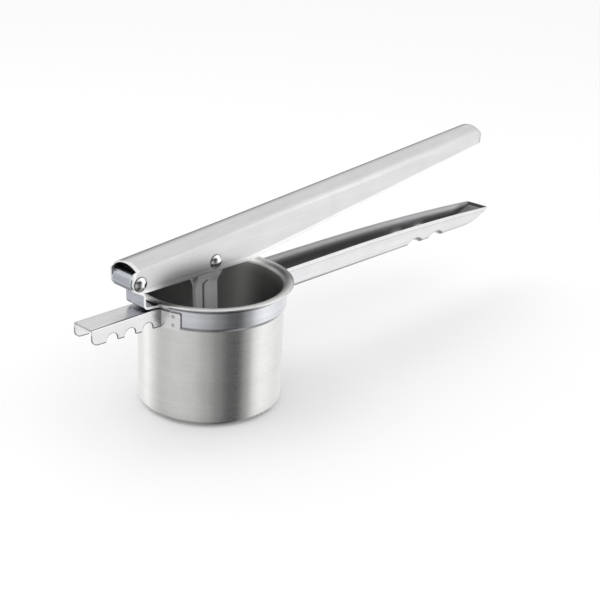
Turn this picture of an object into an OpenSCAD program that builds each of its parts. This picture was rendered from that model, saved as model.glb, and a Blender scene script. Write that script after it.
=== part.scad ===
// Hand press for spaetzle and potatoes, all in stainless sheet.
// A cup with a perforated floor carries a collar band. A hinge bracket, a notched pot rest and a
// fixed handle are welded to the band. A lever turns on the bracket and pushes a disc down the cup.
// Millimetres. The origin is the centre of the cup's base, +Z is up and the handles point along +X.
// The pieces are drawn with the lever a little above the rim, as the press is laid down.

/* [Cup] */
// Outer diameter of the cup's straight wall
cup_d = 88; // [80:1:100]
// Height from the base to the top of the rim
cup_h = 77; // [70:1:95]
// Sheet thickness of the cup
cup_t = 1.2; // [0.8:0.1:1.4]
// How far the rim stands out past the wall
rim_reach = 5.4; // [4.4:0.1:7]
// Radius of the bend under the rim, on the inside of the sheet
rim_bend = 3.4; // [2.8:0.1:4]
// Radius of the rounded edge between the wall and the floor, on the outside
base_round = 4; // [2.5:0.5:8]
// Diameter of the holes in the floor
hole_d = 4.5; // [3:0.1:5.5]
// Distance between neighbouring holes
hole_pitch = 8.5; // [7.5:0.1:12]
// Solid margin between the holes and the wall
hole_margin = 7.5; // [6:0.5:14]

/* [Collar band] */
// Sheet thickness of the band
collar_t = 1.4; // [1:0.1:1.8]
// Height of the band
collar_h = 13.6; // [13:0.1:20]
// Distance from the top of the rim down to the band
collar_drop = 1.9; // [1.7:0.1:2.6]
// Height of the bevel along the band's lower edge
collar_bevel = 2.2; // [1:0.1:4]

/* [Hinge] */
// Distance of the hinge axis behind the rim
hinge_back = 12.8; // [11:0.1:18]
// Height of the hinge axis above the rim
hinge_up = 15.1; // [13.5:0.1:19]
// Distance from the hinge axis to the plunger's pivot
pivot_span = 56.1; // [50:0.5:62]
// Turn of the lever down to the rim
close_angle = 6.2; // [5:0.1:6.2]
// Diameter of the rivet shanks
shank_d = 6; // [5:0.1:6.4]
// Diameter of the rivets' domed heads
head_d = 8.9; // [8:0.1:9.6]
// Height of the domed heads
head_h = 2.4; // [1.6:0.1:3]
// Wall of the sleeves on the rivets
sleeve_wall = 0.9; // [0.6:0.1:1.1]
// Thickness of the washers
washer_t = 1; // [0.6:0.1:1.4]
// Width of the washers' flat ring
washer_ring = 0.8; // [0.6:0.1:1]
// Radial clearance of a turning fit
run_clear = 0.05; // [0.02:0.01:0.1]
// Side clearance between neighbouring pieces on an axis
side_gap = 0.1; // [0.05:0.01:0.2]

/* [Hinge bracket] */
// Sheet thickness of the bracket
bracket_t = 1.4; // [1.2:0.1:1.6]
// Radius of the bend between the knuckle and the web, at mid sheet
bracket_bend = 2.5; // [2:0.1:3]
// Distance of the web in front of the hinge axis, at mid sheet
web_x = 4.8; // [4.3:0.1:5.4]
// Downward slope of the tongue towards the cup, in degrees
tongue_slope = 5; // [3:0.5:6]
// Radius of the fillets between the tongue and the band
tongue_fillet = 6; // [3:0.5:9]

/* [Pot rest] */
// Sheet thickness of the pot rest
hook_t = 1.2; // [1:0.1:1.6]
// Outer width of the pot rest
hook_w = 16.3; // [14:0.1:20]
// Distance from the cup's axis to the free end
hook_reach = 93.8; // [90:0.5:110]
// Depth of the flanges at the free end
hook_tip_h = 9.3; // [8.5:0.1:12]
// Depth of the flanges at the band
hook_root_h = 11.5; // [11:0.1:13]
// Radius of the notches
notch_r = 4.1; // [3:0.1:4.6]
// Distance between neighbouring notches
notch_pitch = 12.4; // [11.4:0.1:13]
// Depth of the notches from the flange's lower edge
notch_depth = 4.6; // [3:0.1:5.5]
// Distance from the free end to the first notch
notch_inset = 13.3; // [11:0.1:15]
// Radius of the flanges' rounded tip
hook_tip_round = 3.5; // [2:0.1:6]
// Turn of the wings round the band past the flanges, in degrees
wing_angle = 15; // [12:0.5:20]
// Diameter of the weld plugs
plug_d = 2; // [1.5:0.1:2.6]
// Distance between the two plugs of a wing
plug_pitch = 5.3; // [4.4:0.1:6]
// Depth of the plugs' sunk faces
plug_sink = 0.3; // [0.1:0.1:0.5]
// Gap between the bracket's tongue and the pot rest below it
hook_gap = 0.5; // [0.3:0.1:1]

/* [Fixed handle] */
// Sheet thickness of the fixed handle
handle_t = 1; // [0.8:0.1:1.4]
// Outer width of the handle at the band
handle_root_w = 22.4; // [20:0.2:27]
// Outer width of the handle at its end
handle_end_w = 17.4; // [16:0.1:20]
// Distance from the cup's axis to the end of the handle
handle_reach = 285; // [250:1:300]
// Distance from the top of the rim down to the handle's top edge
handle_drop = 3.8; // [3:0.1:5]
// Depth of the handle at the band
handle_root_h = 14.9; // [12:0.1:15.5]
// Depth of the handle at its end, if its floor ran on straight
handle_end_h = 10.9; // [9:0.1:13]
// Drop of the end below the straight line of the root
handle_bow = 5.7; // [0:0.1:8]
// Distance from the cup's axis to the start of the bow
bow_start = 110; // [80:1:140]
// Radius of the floor's long edges
handle_round = 3.2; // [2:0.1:4.5]
// Radius of the rising end of the floor
handle_nose_r = 50; // [42:1:60]
// Length of the rising end
handle_nose_l = 27.5; // [20:0.5:29]
// Height of the lip along the top edge
lip_h = 2.8; // [1.8:0.1:4]
// How far the lip stands out
lip_out = 0.7; // [0.3:0.1:1.2]
// Distance from the handle's end to the first finger groove
groove_inset = 67; // [60:1:80]
// Distance between the finger grooves
groove_pitch = 26; // [20:1:30]
// Radius of the finger grooves
groove_r = 13; // [9:0.5:18]
// Depth of the finger grooves
groove_depth = 3; // [1:0.1:3.6]

/* [Lever] */
// Sheet thickness of the lever
lever_t = 1; // [0.8:0.1:1.2]
// Outer width of the lever
lever_w = 20; // [19:0.2:24]
// Length from the hinge axis to the nose
lever_len = 331; // [300:1:350]
// Radius of the rounded ends of the walls at the hinge
lobe_r = 4.8; // [4.8:0.1:5.4]
// Depth of the walls below the hinge axis
lever_drop = 6; // [5.6:0.1:6.4]
// Length of the straight lower edge past the hinge axis
lever_flat = 86; // [76:1:100]
// Height of the crown above the hinge axis, measured at the axis
crown_up = 11.4; // [10.8:0.1:14]
// Upward slope of the crown, in degrees
crown_slope = 5.6; // [5:0.1:6.5]
// Height of the crown's arch at the axis
arch_root = 3.2; // [2:0.1:5]
// Height of the crown's arch at the nose
arch_nose = 8.8; // [6:0.1:9]
// Depth of the lower edge below the crown, measured at the nose
nose_depth = 13.2; // [12:0.1:16]
// Radius of the nose's round end
nose_r = 13; // [12:0.5:18]

/* [Plunger] */
// Radial gap between the disc and the cup
disc_gap = 2; // [1.9:0.1:3]
// Sheet thickness of the disc
disc_t = 1.8; // [1.2:0.1:2.4]
// Height of the disc's raised edge
disc_edge_h = 6; // [4:0.5:8]
// Radius of the bend below the raised edge, on the outside
disc_bend = 3; // [2.5:0.1:4]
// Gap below the disc when the lever is down
floor_gap = 1.2; // [1:0.1:3]
// Distance of the disc's centre in front of the cup's axis, which evens out its swing
disc_shift = 0.3; // [0:0.1:0.6]
// Sheet thickness of the stem's plates
stem_t = 1.2; // [1:0.1:1.6]
// Width of the stem
stem_w = 17.6; // [15:0.2:20]
// Height of the ears' straight part below the plunger's pivot
ear_drop = 5.4; // [5.4:0.1:8]
// Height over which the plates spread from the stem to the ears
spread_h = 10.7; // [8:0.1:14]
// Width of the stiffening bead pressed out of each plate
bead_w = 5.6; // [5:0.1:7]
// Height of the bead
bead_h = 1; // [0.8:0.1:1.3]
// Distance from the plunger's pivot down to the bead's rounded top
bead_drop = 16.4; // [16.2:0.2:30]
// Distance of the stem's feet behind the disc's centre
foot_back = 2.8; // [0:0.2:4]
// Length of the stem's feet on the disc
foot_l = 17; // [14:0.5:22]
// Shank diameter of the small rivets in the feet
foot_rivet_d = 3; // [2:0.1:4]
// Diameter of the small rivets' domed heads
foot_head_d = 5.2; // [4.2:0.1:6]
// Height of the small rivets' domed heads
foot_head_h = 1.2; // [0.8:0.1:1.6]
// Distance between the two rivets of a foot
foot_rivet_pitch = 9.6; // [8:0.1:10.5]

/* [Hidden] */
$fn = 96;
// Overshoot of a cut past the faces that it opens
cut = 1;
// Gap that keeps two welded or riveted pieces from sharing a round face
weld_gap = 0.02;
// Thickness of the slices that a tapered piece is spanned between
slice = 0.01;
// Fineness of the spanned slices
hull_fn = 32;
// Fineness of the large round faces and of the floor's holes
wide_fn = 144;
hole_fn = 32;
// Number of straight pieces in a bowed line, in the crown's arch, in a bend and in the knuckle
bow_steps = 24;
arch_steps = 16;
arc_steps = 12;
knuckle_steps = 64;

cup_r = cup_d / 2;
bore_r = cup_r - cup_t;
rim_r = cup_r + rim_reach;
collar_r = cup_r + collar_t;
// Thickness left at the band's bevelled edge
collar_edge_t = collar_t / 3;
collar_z = cup_h - collar_drop;
// Radius of the bend under the rim, on the outside of the sheet
under_bend = rim_bend - cup_t;

hinge_x = -rim_r - hinge_back;
hinge_z = cup_h + hinge_up;
pivot_x = hinge_x + pivot_span;
sleeve_bore_r = shank_d / 2 + run_clear;
sleeve_r = sleeve_bore_r + sleeve_wall;
sleeve_seat_r = sleeve_r + run_clear;
lever_in = lever_w / 2 - lever_t;
// Half width of what turns between the washers
core_half = lever_in - washer_t - 2 * side_gap;

knuckle_r = sleeve_seat_r + bracket_t;
knuckle_mid = sleeve_seat_r + bracket_t / 2;
// Slope of the strip that leaves the knuckle, and direction in which the knuckle's roll starts
strip_fall = 30;
knuckle_end = -20;

hook_z = collar_z - bracket_t - hook_gap;
wing_out_r = collar_r + hook_t;
hook_half = hook_w / 2;
// Directions of a flange's outer and inner face at the band
wing_start = asin(hook_half / collar_r);
wing_root = asin((hook_half - hook_t) / collar_r);
// Share of a wing's turn at which its plugs sit
plug_place = 0.62;
// Step down from the pot rest's inner top face to its wings
wing_step = 0.1;

handle_z = cup_h - handle_drop;
handle_half = handle_root_w / 2;
handle_wing_start = asin(handle_half / collar_r);
handle_wing_root = asin((handle_half - handle_t) / collar_r);
handle_wing_r = collar_r + handle_t;

disc_r = bore_r - disc_gap;
disc_z = cup_t + floor_gap + pivot_span * sin(close_angle);
foot_z = disc_z + disc_t;
stem_h = hinge_z - foot_z;
foot_x = disc_shift - foot_back;
lean = atan((foot_x - pivot_x) / stem_h);

crown_rise = tan(crown_slope);
// Rise of the nose's ball over the crown's line, so that the two cross at an angle
nose_lift = 0.3;
// Direction, short of straight down, in which a lobe's round end runs into the lower edge
lobe_lean = 20;
// Inner and outer faces of the stem's plates, which lie back to back
stem_in = weld_gap;
stem_out = stem_in + stem_t;
// Outer radius of a bead, and its axis across the middle plane
bead_r = arch_r(bead_w / 2, bead_h);
bead_y = stem_out + bead_h - bead_r;
// Place of the small rivets along a foot
foot_rivet_y = (foot_l + stem_out + bead_h) / 2;

// Points of an arc from one side to the other, with its top at height 0
function arch(half, r, n) =
    let (a = asin(half / r))
    [for (i = [0 : n]) let (t = a * (2 * i / n - 1)) [r * sin(t), r * cos(t) - r]];
// Radius of the arc with a given rise over a given half width
function arch_r(half, rise) = (half * half + rise * rise) / (2 * rise);
// Bowed line of the handle's top edge
function bow(x) =
    let (s = max(0, (x - bow_start) / (handle_reach - bow_start)))
    handle_z - handle_bow * s * s;
// Half of the handle's outer width at a distance from the cup's axis
function handle_half_at(x) =
    (handle_root_w + (handle_end_w - handle_root_w) * (x - collar_r) / (handle_reach - collar_r)) / 2;
// Lowest line of the handle's floor
function handle_floor(x) =
    handle_z - handle_root_h + (handle_root_h - handle_end_h - handle_bow)
        * (x - collar_r) / (handle_reach - collar_r);

// Solid swept along Y from an outline in X and Z, between two distances from the middle
module along_y(from, to) {
    translate([0, to, 0])
        rotate([90, 0, 0])
            linear_extrude(to - from)
                children();
}

// Solid swept along X from an outline in Y and Z, between two places
module along_x(from, to) {
    translate([from, 0, 0])
        rotate([90, 0, 90])
            linear_extrude(to - from)
                children();
}

// Cylinder along Y, centred on the middle plane
module axle(r, half) {
    rotate([90, 0, 0])
        cylinder(r = r, h = 2 * half, center = true);
}

// Ring round an axle, between two distances from the middle
module spacer(r, bore, from, to) {
    along_y(from, to)
        difference() {
            circle(r);
            circle(bore);
        }
}

// Spherical cap that stands on the plane z = 0
module dome(r, h) {
    ball = (r * r + h * h) / (2 * h);
    rotate_extrude()
        intersection() {
            translate([0, h - ball])
                circle(ball);
            square([r, h]);
        }
}

// Rivet along Y with a domed head on each side of the lever
module lever_rivet() {
    axle(shank_d / 2, lever_w / 2);
    for (side = [-1, 1])
        translate([0, side * lever_w / 2, 0])
            rotate([-side * 90, 0, 0])
                dome(head_d / 2, head_h);
}

// Children moved to the hinge axis
module at_hinge() {
    translate([hinge_x, 0, hinge_z])
        children();
}

// Children moved to the plunger's pivot
module at_pivot() {
    translate([pivot_x, 0, hinge_z])
        children();
}

// --- Cup ---

// Half section of the cup without its holes
module cup_section() {
    bend_r = cup_r + under_bend;
    bend_z = cup_h - rim_bend;
    edge_r = cup_t / 2;
    // Floor and wall with a rounded corner
    difference() {
        union() {
            square([cup_r - base_round, base_round]);
            translate([0, base_round])
                square([cup_r, bend_z - base_round]);
            translate([cup_r - base_round, base_round])
                circle(base_round);
        }
        translate([-cut, base_round])
            square([bore_r + cut, cup_h]);
        translate([-cut, cup_t])
            square([cup_r - base_round + cut, cup_h]);
        translate([cup_r - base_round, base_round])
            circle(base_round - cup_t);
    }
    // Bend and rim
    intersection() {
        difference() {
            translate([bend_r, bend_z])
                circle(rim_bend);
            translate([bend_r, bend_z])
                circle(under_bend);
        }
        translate([bore_r, bend_z])
            square([rim_bend, rim_bend]);
    }
    translate([bend_r, cup_h - cup_t])
        square([rim_r - edge_r - bend_r, cup_t]);
    translate([rim_r - edge_r, cup_h - edge_r])
        circle(edge_r);
}

// Triangular pattern of holes, the same on both sides, with solid metal on the axis
module floor_holes() {
    field_r = bore_r - hole_margin;
    column_gap = hole_pitch * sqrt(3) / 2;
    reach = ceil(field_r / column_gap) + 1;
    for (column = [-reach : reach], row = [-reach : reach]) {
        x = (column + 1 / 3) * column_gap;
        y = (row + (column % 2 == 0 ? 0.5 : 0)) * hole_pitch;
        if (norm([x, y]) < field_r)
            translate([x, y, -cut])
                cylinder(d = hole_d, h = cup_t + 2 * cut, $fn = hole_fn);
    }
}

module cup() {
    color("silver")
        difference() {
            rotate_extrude($fn = wide_fn)
                cup_section();
            floor_holes();
        }
}

// --- Collar band ---

module collar_band() {
    bend_r = cup_r + under_bend;
    bend_z = cup_h - rim_bend;
    foot = collar_z - collar_h;
    color("lightsteelblue")
        rotate_extrude($fn = wide_fn)
            intersection() {
                polygon([[cup_r + weld_gap, foot],
                    [cup_r + collar_edge_t, foot],
                    [collar_r, foot + collar_bevel],
                    [collar_r, collar_z],
                    [cup_r + weld_gap, collar_z]]);
                union() {
                    square([2 * cup_r, bend_z]);
                    translate([bend_r, bend_z])
                        circle(under_bend - weld_gap);
                }
            }
}

// --- Hinge bracket ---

// Points of an arc round a centre, from one direction to another
function arc_line(centre, r, from, to, n = arc_steps) =
    [for (i = [0 : n]) let (a = from + (to - from) * i / n) centre + r * [cos(a), sin(a)]];

// Side outline of the bracket, with the hinge axis at its origin
module bracket_outline() {
    half = bracket_t / 2;
    leave = 270 - strip_fall;
    start = knuckle_mid * [cos(leave), sin(leave)];
    dir = [cos(strip_fall), -sin(strip_fall)];
    run = (web_x - start.x - bracket_bend * (1 - sin(strip_fall))) / dir.x;
    knee = start + run * dir;
    knee_centre = knee - bracket_bend * [sin(strip_fall), cos(strip_fall)];
    // The lower bend ends in the sloping tongue, which meets the band at the band's top edge
    tongue_end = [-collar_r - hinge_x, collar_z - hinge_z - half];
    heel_centre_x = web_x + bracket_bend;
    heel_x = heel_centre_x - bracket_bend * sin(tongue_slope);
    heel_z = tongue_end.y + (tongue_end.x - heel_x) * tan(tongue_slope);
    heel_centre = [heel_centre_x, heel_z + bracket_bend * cos(tongue_slope)];
    tongue_side = half * [sin(tongue_slope), cos(tongue_slope)];
    tongue_tip = tongue_end + cut * [cos(tongue_slope), -sin(tongue_slope)];
    // From the free end of the rolled knuckle to the tip of the tongue, and back
    polygon(concat(arc_line([0, 0], knuckle_mid + half, knuckle_end, leave, knuckle_steps),
        arc_line(knee_centre, bracket_bend - half, 90 - strip_fall, 0),
        arc_line(heel_centre, bracket_bend + half, 180, 270 - tongue_slope),
        [tongue_tip - tongue_side, tongue_tip + tongue_side],
        arc_line(heel_centre, bracket_bend - half, 270 - tongue_slope, 180),
        arc_line(knee_centre, bracket_bend + half, 0, 90 - strip_fall),
        arc_line([0, 0], knuckle_mid - half, leave, knuckle_end, knuckle_steps)));
}

// Plan of the bracket: the strip, which flares into the band
module bracket_plan() {
    fillet_y = core_half + tongue_fillet;
    fillet_x = -sqrt(pow(collar_r + tongue_fillet, 2) - fillet_y * fillet_y);
    side = concat([[hinge_x - 2 * knuckle_r, core_half]],
        arc_line([fillet_x, fillet_y], tongue_fillet, 270, 360 - atan(fillet_y / -fillet_x)));
    difference() {
        polygon(concat(side,
            [[-collar_r / 2, 0]],
            [for (i = [len(side) - 1 : -1 : 0]) [side[i].x, -side[i].y]]));
        circle(collar_r + weld_gap, $fn = wide_fn);
    }
}

module hinge_bracket() {
    flare = core_half + tongue_fillet;
    color("slategray")
        intersection() {
            at_hinge()
                along_y(-flare, flare)
                    bracket_outline();
            linear_extrude(2 * cup_h)
                bracket_plan();
        }
}

// --- Pot rest ---

// Side outline of a flange with its notches
module hook_flange_outline() {
    tip = -hook_reach;
    root = -collar_r;
    slope = (hook_root_h - hook_tip_h) / (root - tip);
    difference() {
        union() {
            polygon([[tip, hook_z],
                [tip, hook_z - hook_tip_h + hook_tip_round],
                [tip + hook_tip_round, hook_z - hook_tip_h],
                [0, hook_z - hook_root_h - slope * collar_r],
                [0, hook_z]]);
            intersection() {
                translate([tip + hook_tip_round, hook_z - hook_tip_h + hook_tip_round])
                    circle(hook_tip_round);
                translate([tip, hook_z - hook_tip_h])
                    square(hook_tip_round);
            }
        }
        for (i = [0 : 2]) {
            x = tip + notch_inset + i * notch_pitch;
            edge = hook_z - hook_tip_h - slope * (x - tip);
            translate([x, edge + notch_depth - notch_r])
                circle(notch_r);
            translate([x - notch_r, edge - 2 * notch_r])
                square([2 * notch_r, notch_r + notch_depth]);
        }
    }
}

// Curved wing that lies on the band, from one turn to another and between two heights
module wing(r, t, from, to, low, high) {
    translate([0, 0, low])
        rotate([0, 0, from])
            rotate_extrude(angle = to - from, $fn = wide_fn)
                translate([r, 0])
                    square([t, high - low]);
}

// Turn of a wing's plugs past the flange
function plug_turn(start) = start + wing_angle * plug_place;

// Children at the places of the plugs of two wings, on a radius, either side of a middle turn
module at_plugs(start, mid_z, r, middle) {
    for (side = [-1, 1], step = [-0.5, 0.5])
        rotate([0, 0, middle + side * plug_turn(start)])
            translate([r, 0, mid_z + step * plug_pitch])
                rotate([0, 90, 0])
                    children();
}

module hook_rest() {
    low = hook_z - hook_root_h;
    high = hook_z - hook_t - wing_step;
    mid = (low + high) / 2;
    inner_half = hook_half - hook_t;
    color("gainsboro")
        difference() {
            union() {
                intersection() {
                    along_y(-hook_half, hook_half)
                        hook_flange_outline();
                    // Rounded long edges of the channel
                    along_x(-2 * hook_reach, 0) {
                        translate([-hook_half, 0])
                            square([hook_w, hook_z - hook_t]);
                        translate([-inner_half, 0])
                            square([2 * inner_half, hook_z]);
                        for (side = [-1, 1])
                            translate([side * inner_half, hook_z - hook_t])
                                circle(hook_t);
                    }
                }
                for (side = [-1, 1])
                    wing(collar_r + weld_gap, hook_t, 180 + side * wing_root,
                        180 + side * (wing_start + wing_angle), low, high);
            }
            translate([-2 * hook_reach, -inner_half, 0])
                cube([2 * hook_reach, 2 * inner_half, hook_z - hook_t]);
            cylinder(r = collar_r + weld_gap, h = 2 * cup_h, $fn = wide_fn);
            at_plugs(wing_start, mid, collar_r, 180)
                cylinder(d = plug_d + 2 * weld_gap, h = 3 * hook_t);
        }
}

// Plugs that fill the holes of two wings up to their sunk faces
module weld_plugs(start, mid_z, t, middle) {
    at_plugs(start, mid_z, collar_r + weld_gap, middle)
        cylinder(d = plug_d, h = t - plug_sink);
}

module hook_weld_plugs() {
    color("dimgray")
        weld_plugs(wing_start, hook_z - (hook_root_h + hook_t + wing_step) / 2, hook_t, 180);
}

// --- Fixed handle ---

// Cross-section of the trough, open at the top, with round lower corners
module trough_slice(half, low, round) {
    hull() {
        for (side = [-1, 1])
            translate([side * (half - round), low + round])
                circle(round, $fn = hull_fn);
        translate([-half, low + round])
            square([2 * half, cup_h - low - round]);
    }
}

// Tapered body between the root's and the end's sections, thinner by the inset
module trough_span(inset) {
    hull()
        for (x = [0, handle_reach])
            translate([x, 0, 0])
                rotate([90, 0, 90])
                    linear_extrude(slice)
                        trough_slice(handle_half_at(x) - inset, handle_floor(x) + inset,
                            handle_round - inset);
}

// Side outline between the bowed top edge, raised by rise, and the rising end of the floor
module handle_side(inset, rise) {
    end_x = handle_reach - inset;
    nose_x = handle_reach - handle_nose_l;
    intersection() {
        polygon([for (i = [0 : bow_steps]) let (x = end_x * i / bow_steps) [x, bow(x) + rise],
            [end_x, 0],
            [0, 0]]);
        union() {
            square([nose_x, cup_h + cut]);
            translate([nose_x, handle_floor(nose_x) + handle_nose_r])
                circle(handle_nose_r - inset, $fn = wide_fn);
        }
    }
}

// Children at the axes of the finger grooves, on the floor line raised by depth
module at_grooves(depth, r) {
    for (i = [0, 1]) {
        x = handle_reach - groove_inset - i * groove_pitch;
        translate([x, 0, handle_floor(x) + depth - r])
            children();
    }
}

// Inside of the trough, with the bumps of the finger grooves left standing
module trough_inside() {
    difference() {
        intersection() {
            trough_span(handle_t);
            along_y(-handle_root_w, handle_root_w)
                handle_side(handle_t, cut);
        }
        at_grooves(groove_depth + handle_t, groove_r + handle_t)
            axle(groove_r + handle_t, handle_root_w);
    }
}

// Lip along the top edge
module handle_lip() {
    line = [for (i = [0 : bow_steps]) handle_reach * i / bow_steps];
    back = [for (i = [bow_steps : -1 : 0]) handle_reach * i / bow_steps];
    intersection() {
        along_y(-handle_root_w, handle_root_w)
            polygon([for (x = line) [x, bow(x)], for (x = back) [x, bow(x) - lip_h]]);
        linear_extrude(cup_h)
            polygon([for (side = [-1, 1], x = side < 0 ? [0, handle_reach] : [handle_reach, 0])
                [x, side * (handle_half_at(x) + lip_out)]]);
    }
}

module fixed_handle() {
    low = collar_z - collar_h + collar_bevel;
    high = handle_z - handle_t;
    color("lightgray")
        difference() {
            union() {
                intersection() {
                    trough_span(0);
                    along_y(-handle_root_w, handle_root_w)
                        handle_side(0, 0);
                }
                handle_lip();
                for (side = [-1, 1])
                    wing(collar_r + weld_gap, handle_t, side * handle_wing_root,
                        side * (handle_wing_start + wing_angle), low, high);
            }
            trough_inside();
            at_grooves(groove_depth, groove_r)
                axle(groove_r, handle_root_w);
            cylinder(r = collar_r + weld_gap, h = 2 * cup_h, $fn = wide_fn);
            at_plugs(handle_wing_start, (low + high) / 2, collar_r, 0)
                cylinder(d = plug_d + 2 * weld_gap, h = 3 * handle_t);
        }
}

module handle_weld_plugs() {
    low = collar_z - collar_h + collar_bevel;
    high = handle_z - handle_t;
    color("dimgray")
        weld_plugs(handle_wing_start, (low + high) / 2, handle_t, 0);
}

// --- Lever ---

// Radius of the crown's arch at a distance from the hinge axis
function crown_r(x) =
    arch_r(lever_w / 2, arch_root + (arch_nose - arch_root) * x / lever_len);

// Section of the lever's body: arched crown over straight sides
module lever_slice(x, inset) {
    half = lever_w / 2 - inset;
    top = crown_up + crown_rise * x - inset;
    points = arch(half, crown_r(x) - inset, arch_steps);
    polygon([for (p = points) [p.x, p.y + top],
        [half, -2 * lever_drop],
        [-half, -2 * lever_drop]]);
}

// Body between the sections at the hinge and at the nose, thinner by the inset
module lever_span(inset) {
    hull()
        for (x = [-2 * lobe_r, lever_len])
            translate([x, 0, 0])
                rotate([90, 0, 90])
                    linear_extrude(slice)
                        lever_slice(x, inset);
}

// Space behind the ball that rounds the nose's top, thinner by the inset
module nose_limit(inset) {
    ball_x = lever_len + weld_gap - nose_r;
    ball_z = crown_up + crown_rise * ball_x - nose_r + nose_lift;
    translate([-lever_len, -lever_w, -lever_len])
        cube([lever_len + ball_x, 2 * lever_w, 2 * lever_len]);
    translate([0, -lever_w, -lever_len])
        cube([lever_len + cut, 2 * lever_w, lever_len + ball_z]);
    translate([ball_x, 0, ball_z])
        sphere(nose_r - inset);
}

// Side outline of the walls and the crown, with the hinge axis at its origin
module lever_side() {
    // The crown stops short of the lobes
    crown_end = lobe_r / 2;
    wall_top = crown_up - arch_root - lever_t;
    nose_low = crown_up + crown_rise * lever_len - nose_depth;
    polygon(concat([[-lobe_r, wall_top - lever_t],
        [-crown_end, wall_top],
        [-crown_end, lever_len],
        [lever_len, lever_len],
        [lever_len, nose_low],
        [lever_flat, -lever_drop],
        [lobe_r, -lever_drop]],
        arc_line([0, 0], lobe_r, 270 - lobe_lean, 180)));
}

// Plan of the lever: straight sides and a round nose
module lever_plan(inset) {
    half = lever_w / 2;
    translate([-lever_len, -half])
        square([2 * lever_len - half, lever_w]);
    translate([lever_len - half, 0])
        circle(half - inset);
}

// Body with its rounded nose, thinner by the inset
module lever_body(inset) {
    intersection() {
        lever_span(inset);
        nose_limit(inset);
        translate([0, 0, -lever_len])
            linear_extrude(2 * lever_len)
                lever_plan(inset);
    }
}

module lever() {
    color("whitesmoke")
        at_hinge()
            difference() {
                intersection() {
                    lever_body(0);
                    along_y(-lever_w, lever_w)
                        lever_side();
                }
                lever_body(lever_t);
                axle(shank_d / 2 + weld_gap, lever_w);
                translate([pivot_span, 0, 0])
                    axle(shank_d / 2 + weld_gap, lever_w);
            }
}

// --- Rivets, sleeves and washers on the lever ---

// Sleeve between the lever's walls
module sleeve() {
    spacer(sleeve_r, shank_d / 2 + weld_gap, side_gap - lever_in, lever_in - side_gap);
}

// Washer on one side, between the lever's wall and what turns
module washer(side) {
    ring = sleeve_seat_r + washer_ring;
    near = lever_in - side_gap / 2;
    far = near - washer_t;
    spacer(ring, sleeve_seat_r, min(side * near, side * far), max(side * near, side * far));
}

module hinge_rivet() {
    color("white")
        at_hinge()
            lever_rivet();
}

module hinge_sleeve() {
    color("darkgray")
        at_hinge()
            sleeve();
}

module hinge_washer_near() {
    color("gray")
        at_hinge()
            washer(-1);
}

module hinge_washer_far() {
    color("gray")
        at_hinge()
            washer(1);
}

module plunger_rivet() {
    color("white")
        at_pivot()
            lever_rivet();
}

module plunger_sleeve() {
    color("darkgray")
        at_pivot()
            sleeve();
}

module plunger_washer_near() {
    color("gray")
        at_pivot()
            washer(-1);
}

module plunger_washer_far() {
    color("gray")
        at_pivot()
            washer(1);
}

// --- Plunger ---

// Outline of a stem plate across its sheet: foot, straight part, spread and ear
module stem_profile() {
    ear_out = core_half;
    ear_in = core_half - stem_t;
    spread_top = stem_h - ear_drop;
    spread_low = spread_top - spread_h;
    // Slant of the spread, which keeps the sheet's thickness along it
    half_slant = atan((ear_out - stem_out) / spread_h) / 2;
    step = stem_t * tan(half_slant);
    polygon([[stem_in, 0],
        [foot_l, 0],
        [foot_l, stem_t],
        [stem_out, stem_t],
        [stem_out, spread_low],
        [ear_out, spread_top],
        [ear_out, stem_h + stem_w],
        [ear_in, stem_h + stem_w],
        [ear_in, spread_top + step],
        [stem_in, spread_low + step]]);
}

// Face of a stem plate: a leaning strip with a round ear
module stem_face() {
    half = stem_w / 2;
    top_x = pivot_x - foot_x;
    polygon([[-half, 0],
        [half, 0],
        [top_x + half, stem_h],
        [top_x - half, stem_h]]);
    translate([top_x, stem_h])
        circle(half);
}

// Round-ended rod along the leaning stem
module bead_rod(r) {
    low = stem_t + bead_w;
    high = stem_h - bead_drop;
    translate([0, bead_y, 0])
        rotate([0, -lean, 0]) {
            translate([0, 0, low])
                cylinder(r = r, h = high - low);
            for (z = [low, high])
                translate([0, 0, z])
                    sphere(r);
        }
}

// Plate on one side of the middle plane
module stem_plate(side) {
    translate([foot_x, 0, foot_z])
        mirror([0, side < 0 ? 1 : 0, 0])
            difference() {
                union() {
                    intersection() {
                        along_x(-2 * stem_w, 2 * stem_w)
                            stem_profile();
                        along_y(-foot_l, foot_l)
                            stem_face();
                    }
                    intersection() {
                        bead_rod(bead_r);
                        translate([-2 * stem_w, (stem_in + stem_out) / 2, 0])
                            cube([4 * stem_w, bead_r, stem_h]);
                    }
                }
                bead_rod(bead_r - stem_t);
                translate([pivot_x - foot_x, 0, stem_h])
                    axle(sleeve_seat_r, foot_l);
                for (step = [-0.5, 0.5])
                    translate([step * foot_rivet_pitch, foot_rivet_y, -cut])
                        cylinder(d = foot_rivet_d + 2 * weld_gap, h = stem_t + 2 * cut);
            }
}

module stem_plate_near() {
    color("darkgray")
        stem_plate(-1);
}

module stem_plate_far() {
    color("darkgray")
        stem_plate(1);
}

// Half section of the disc with its raised edge
module disc_section() {
    corner = [disc_r - disc_bend, disc_bend];
    difference() {
        union() {
            square([disc_r - disc_bend, disc_bend]);
            translate([0, disc_bend])
                square([disc_r, disc_edge_h - disc_bend]);
            translate(corner)
                circle(disc_bend);
        }
        translate([-cut, disc_t])
            square([disc_r - disc_bend + cut, disc_edge_h]);
        translate([-cut, disc_bend])
            square([disc_r - disc_t + cut, disc_edge_h]);
        translate(corner)
            circle(disc_bend - disc_t);
    }
}

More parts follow.
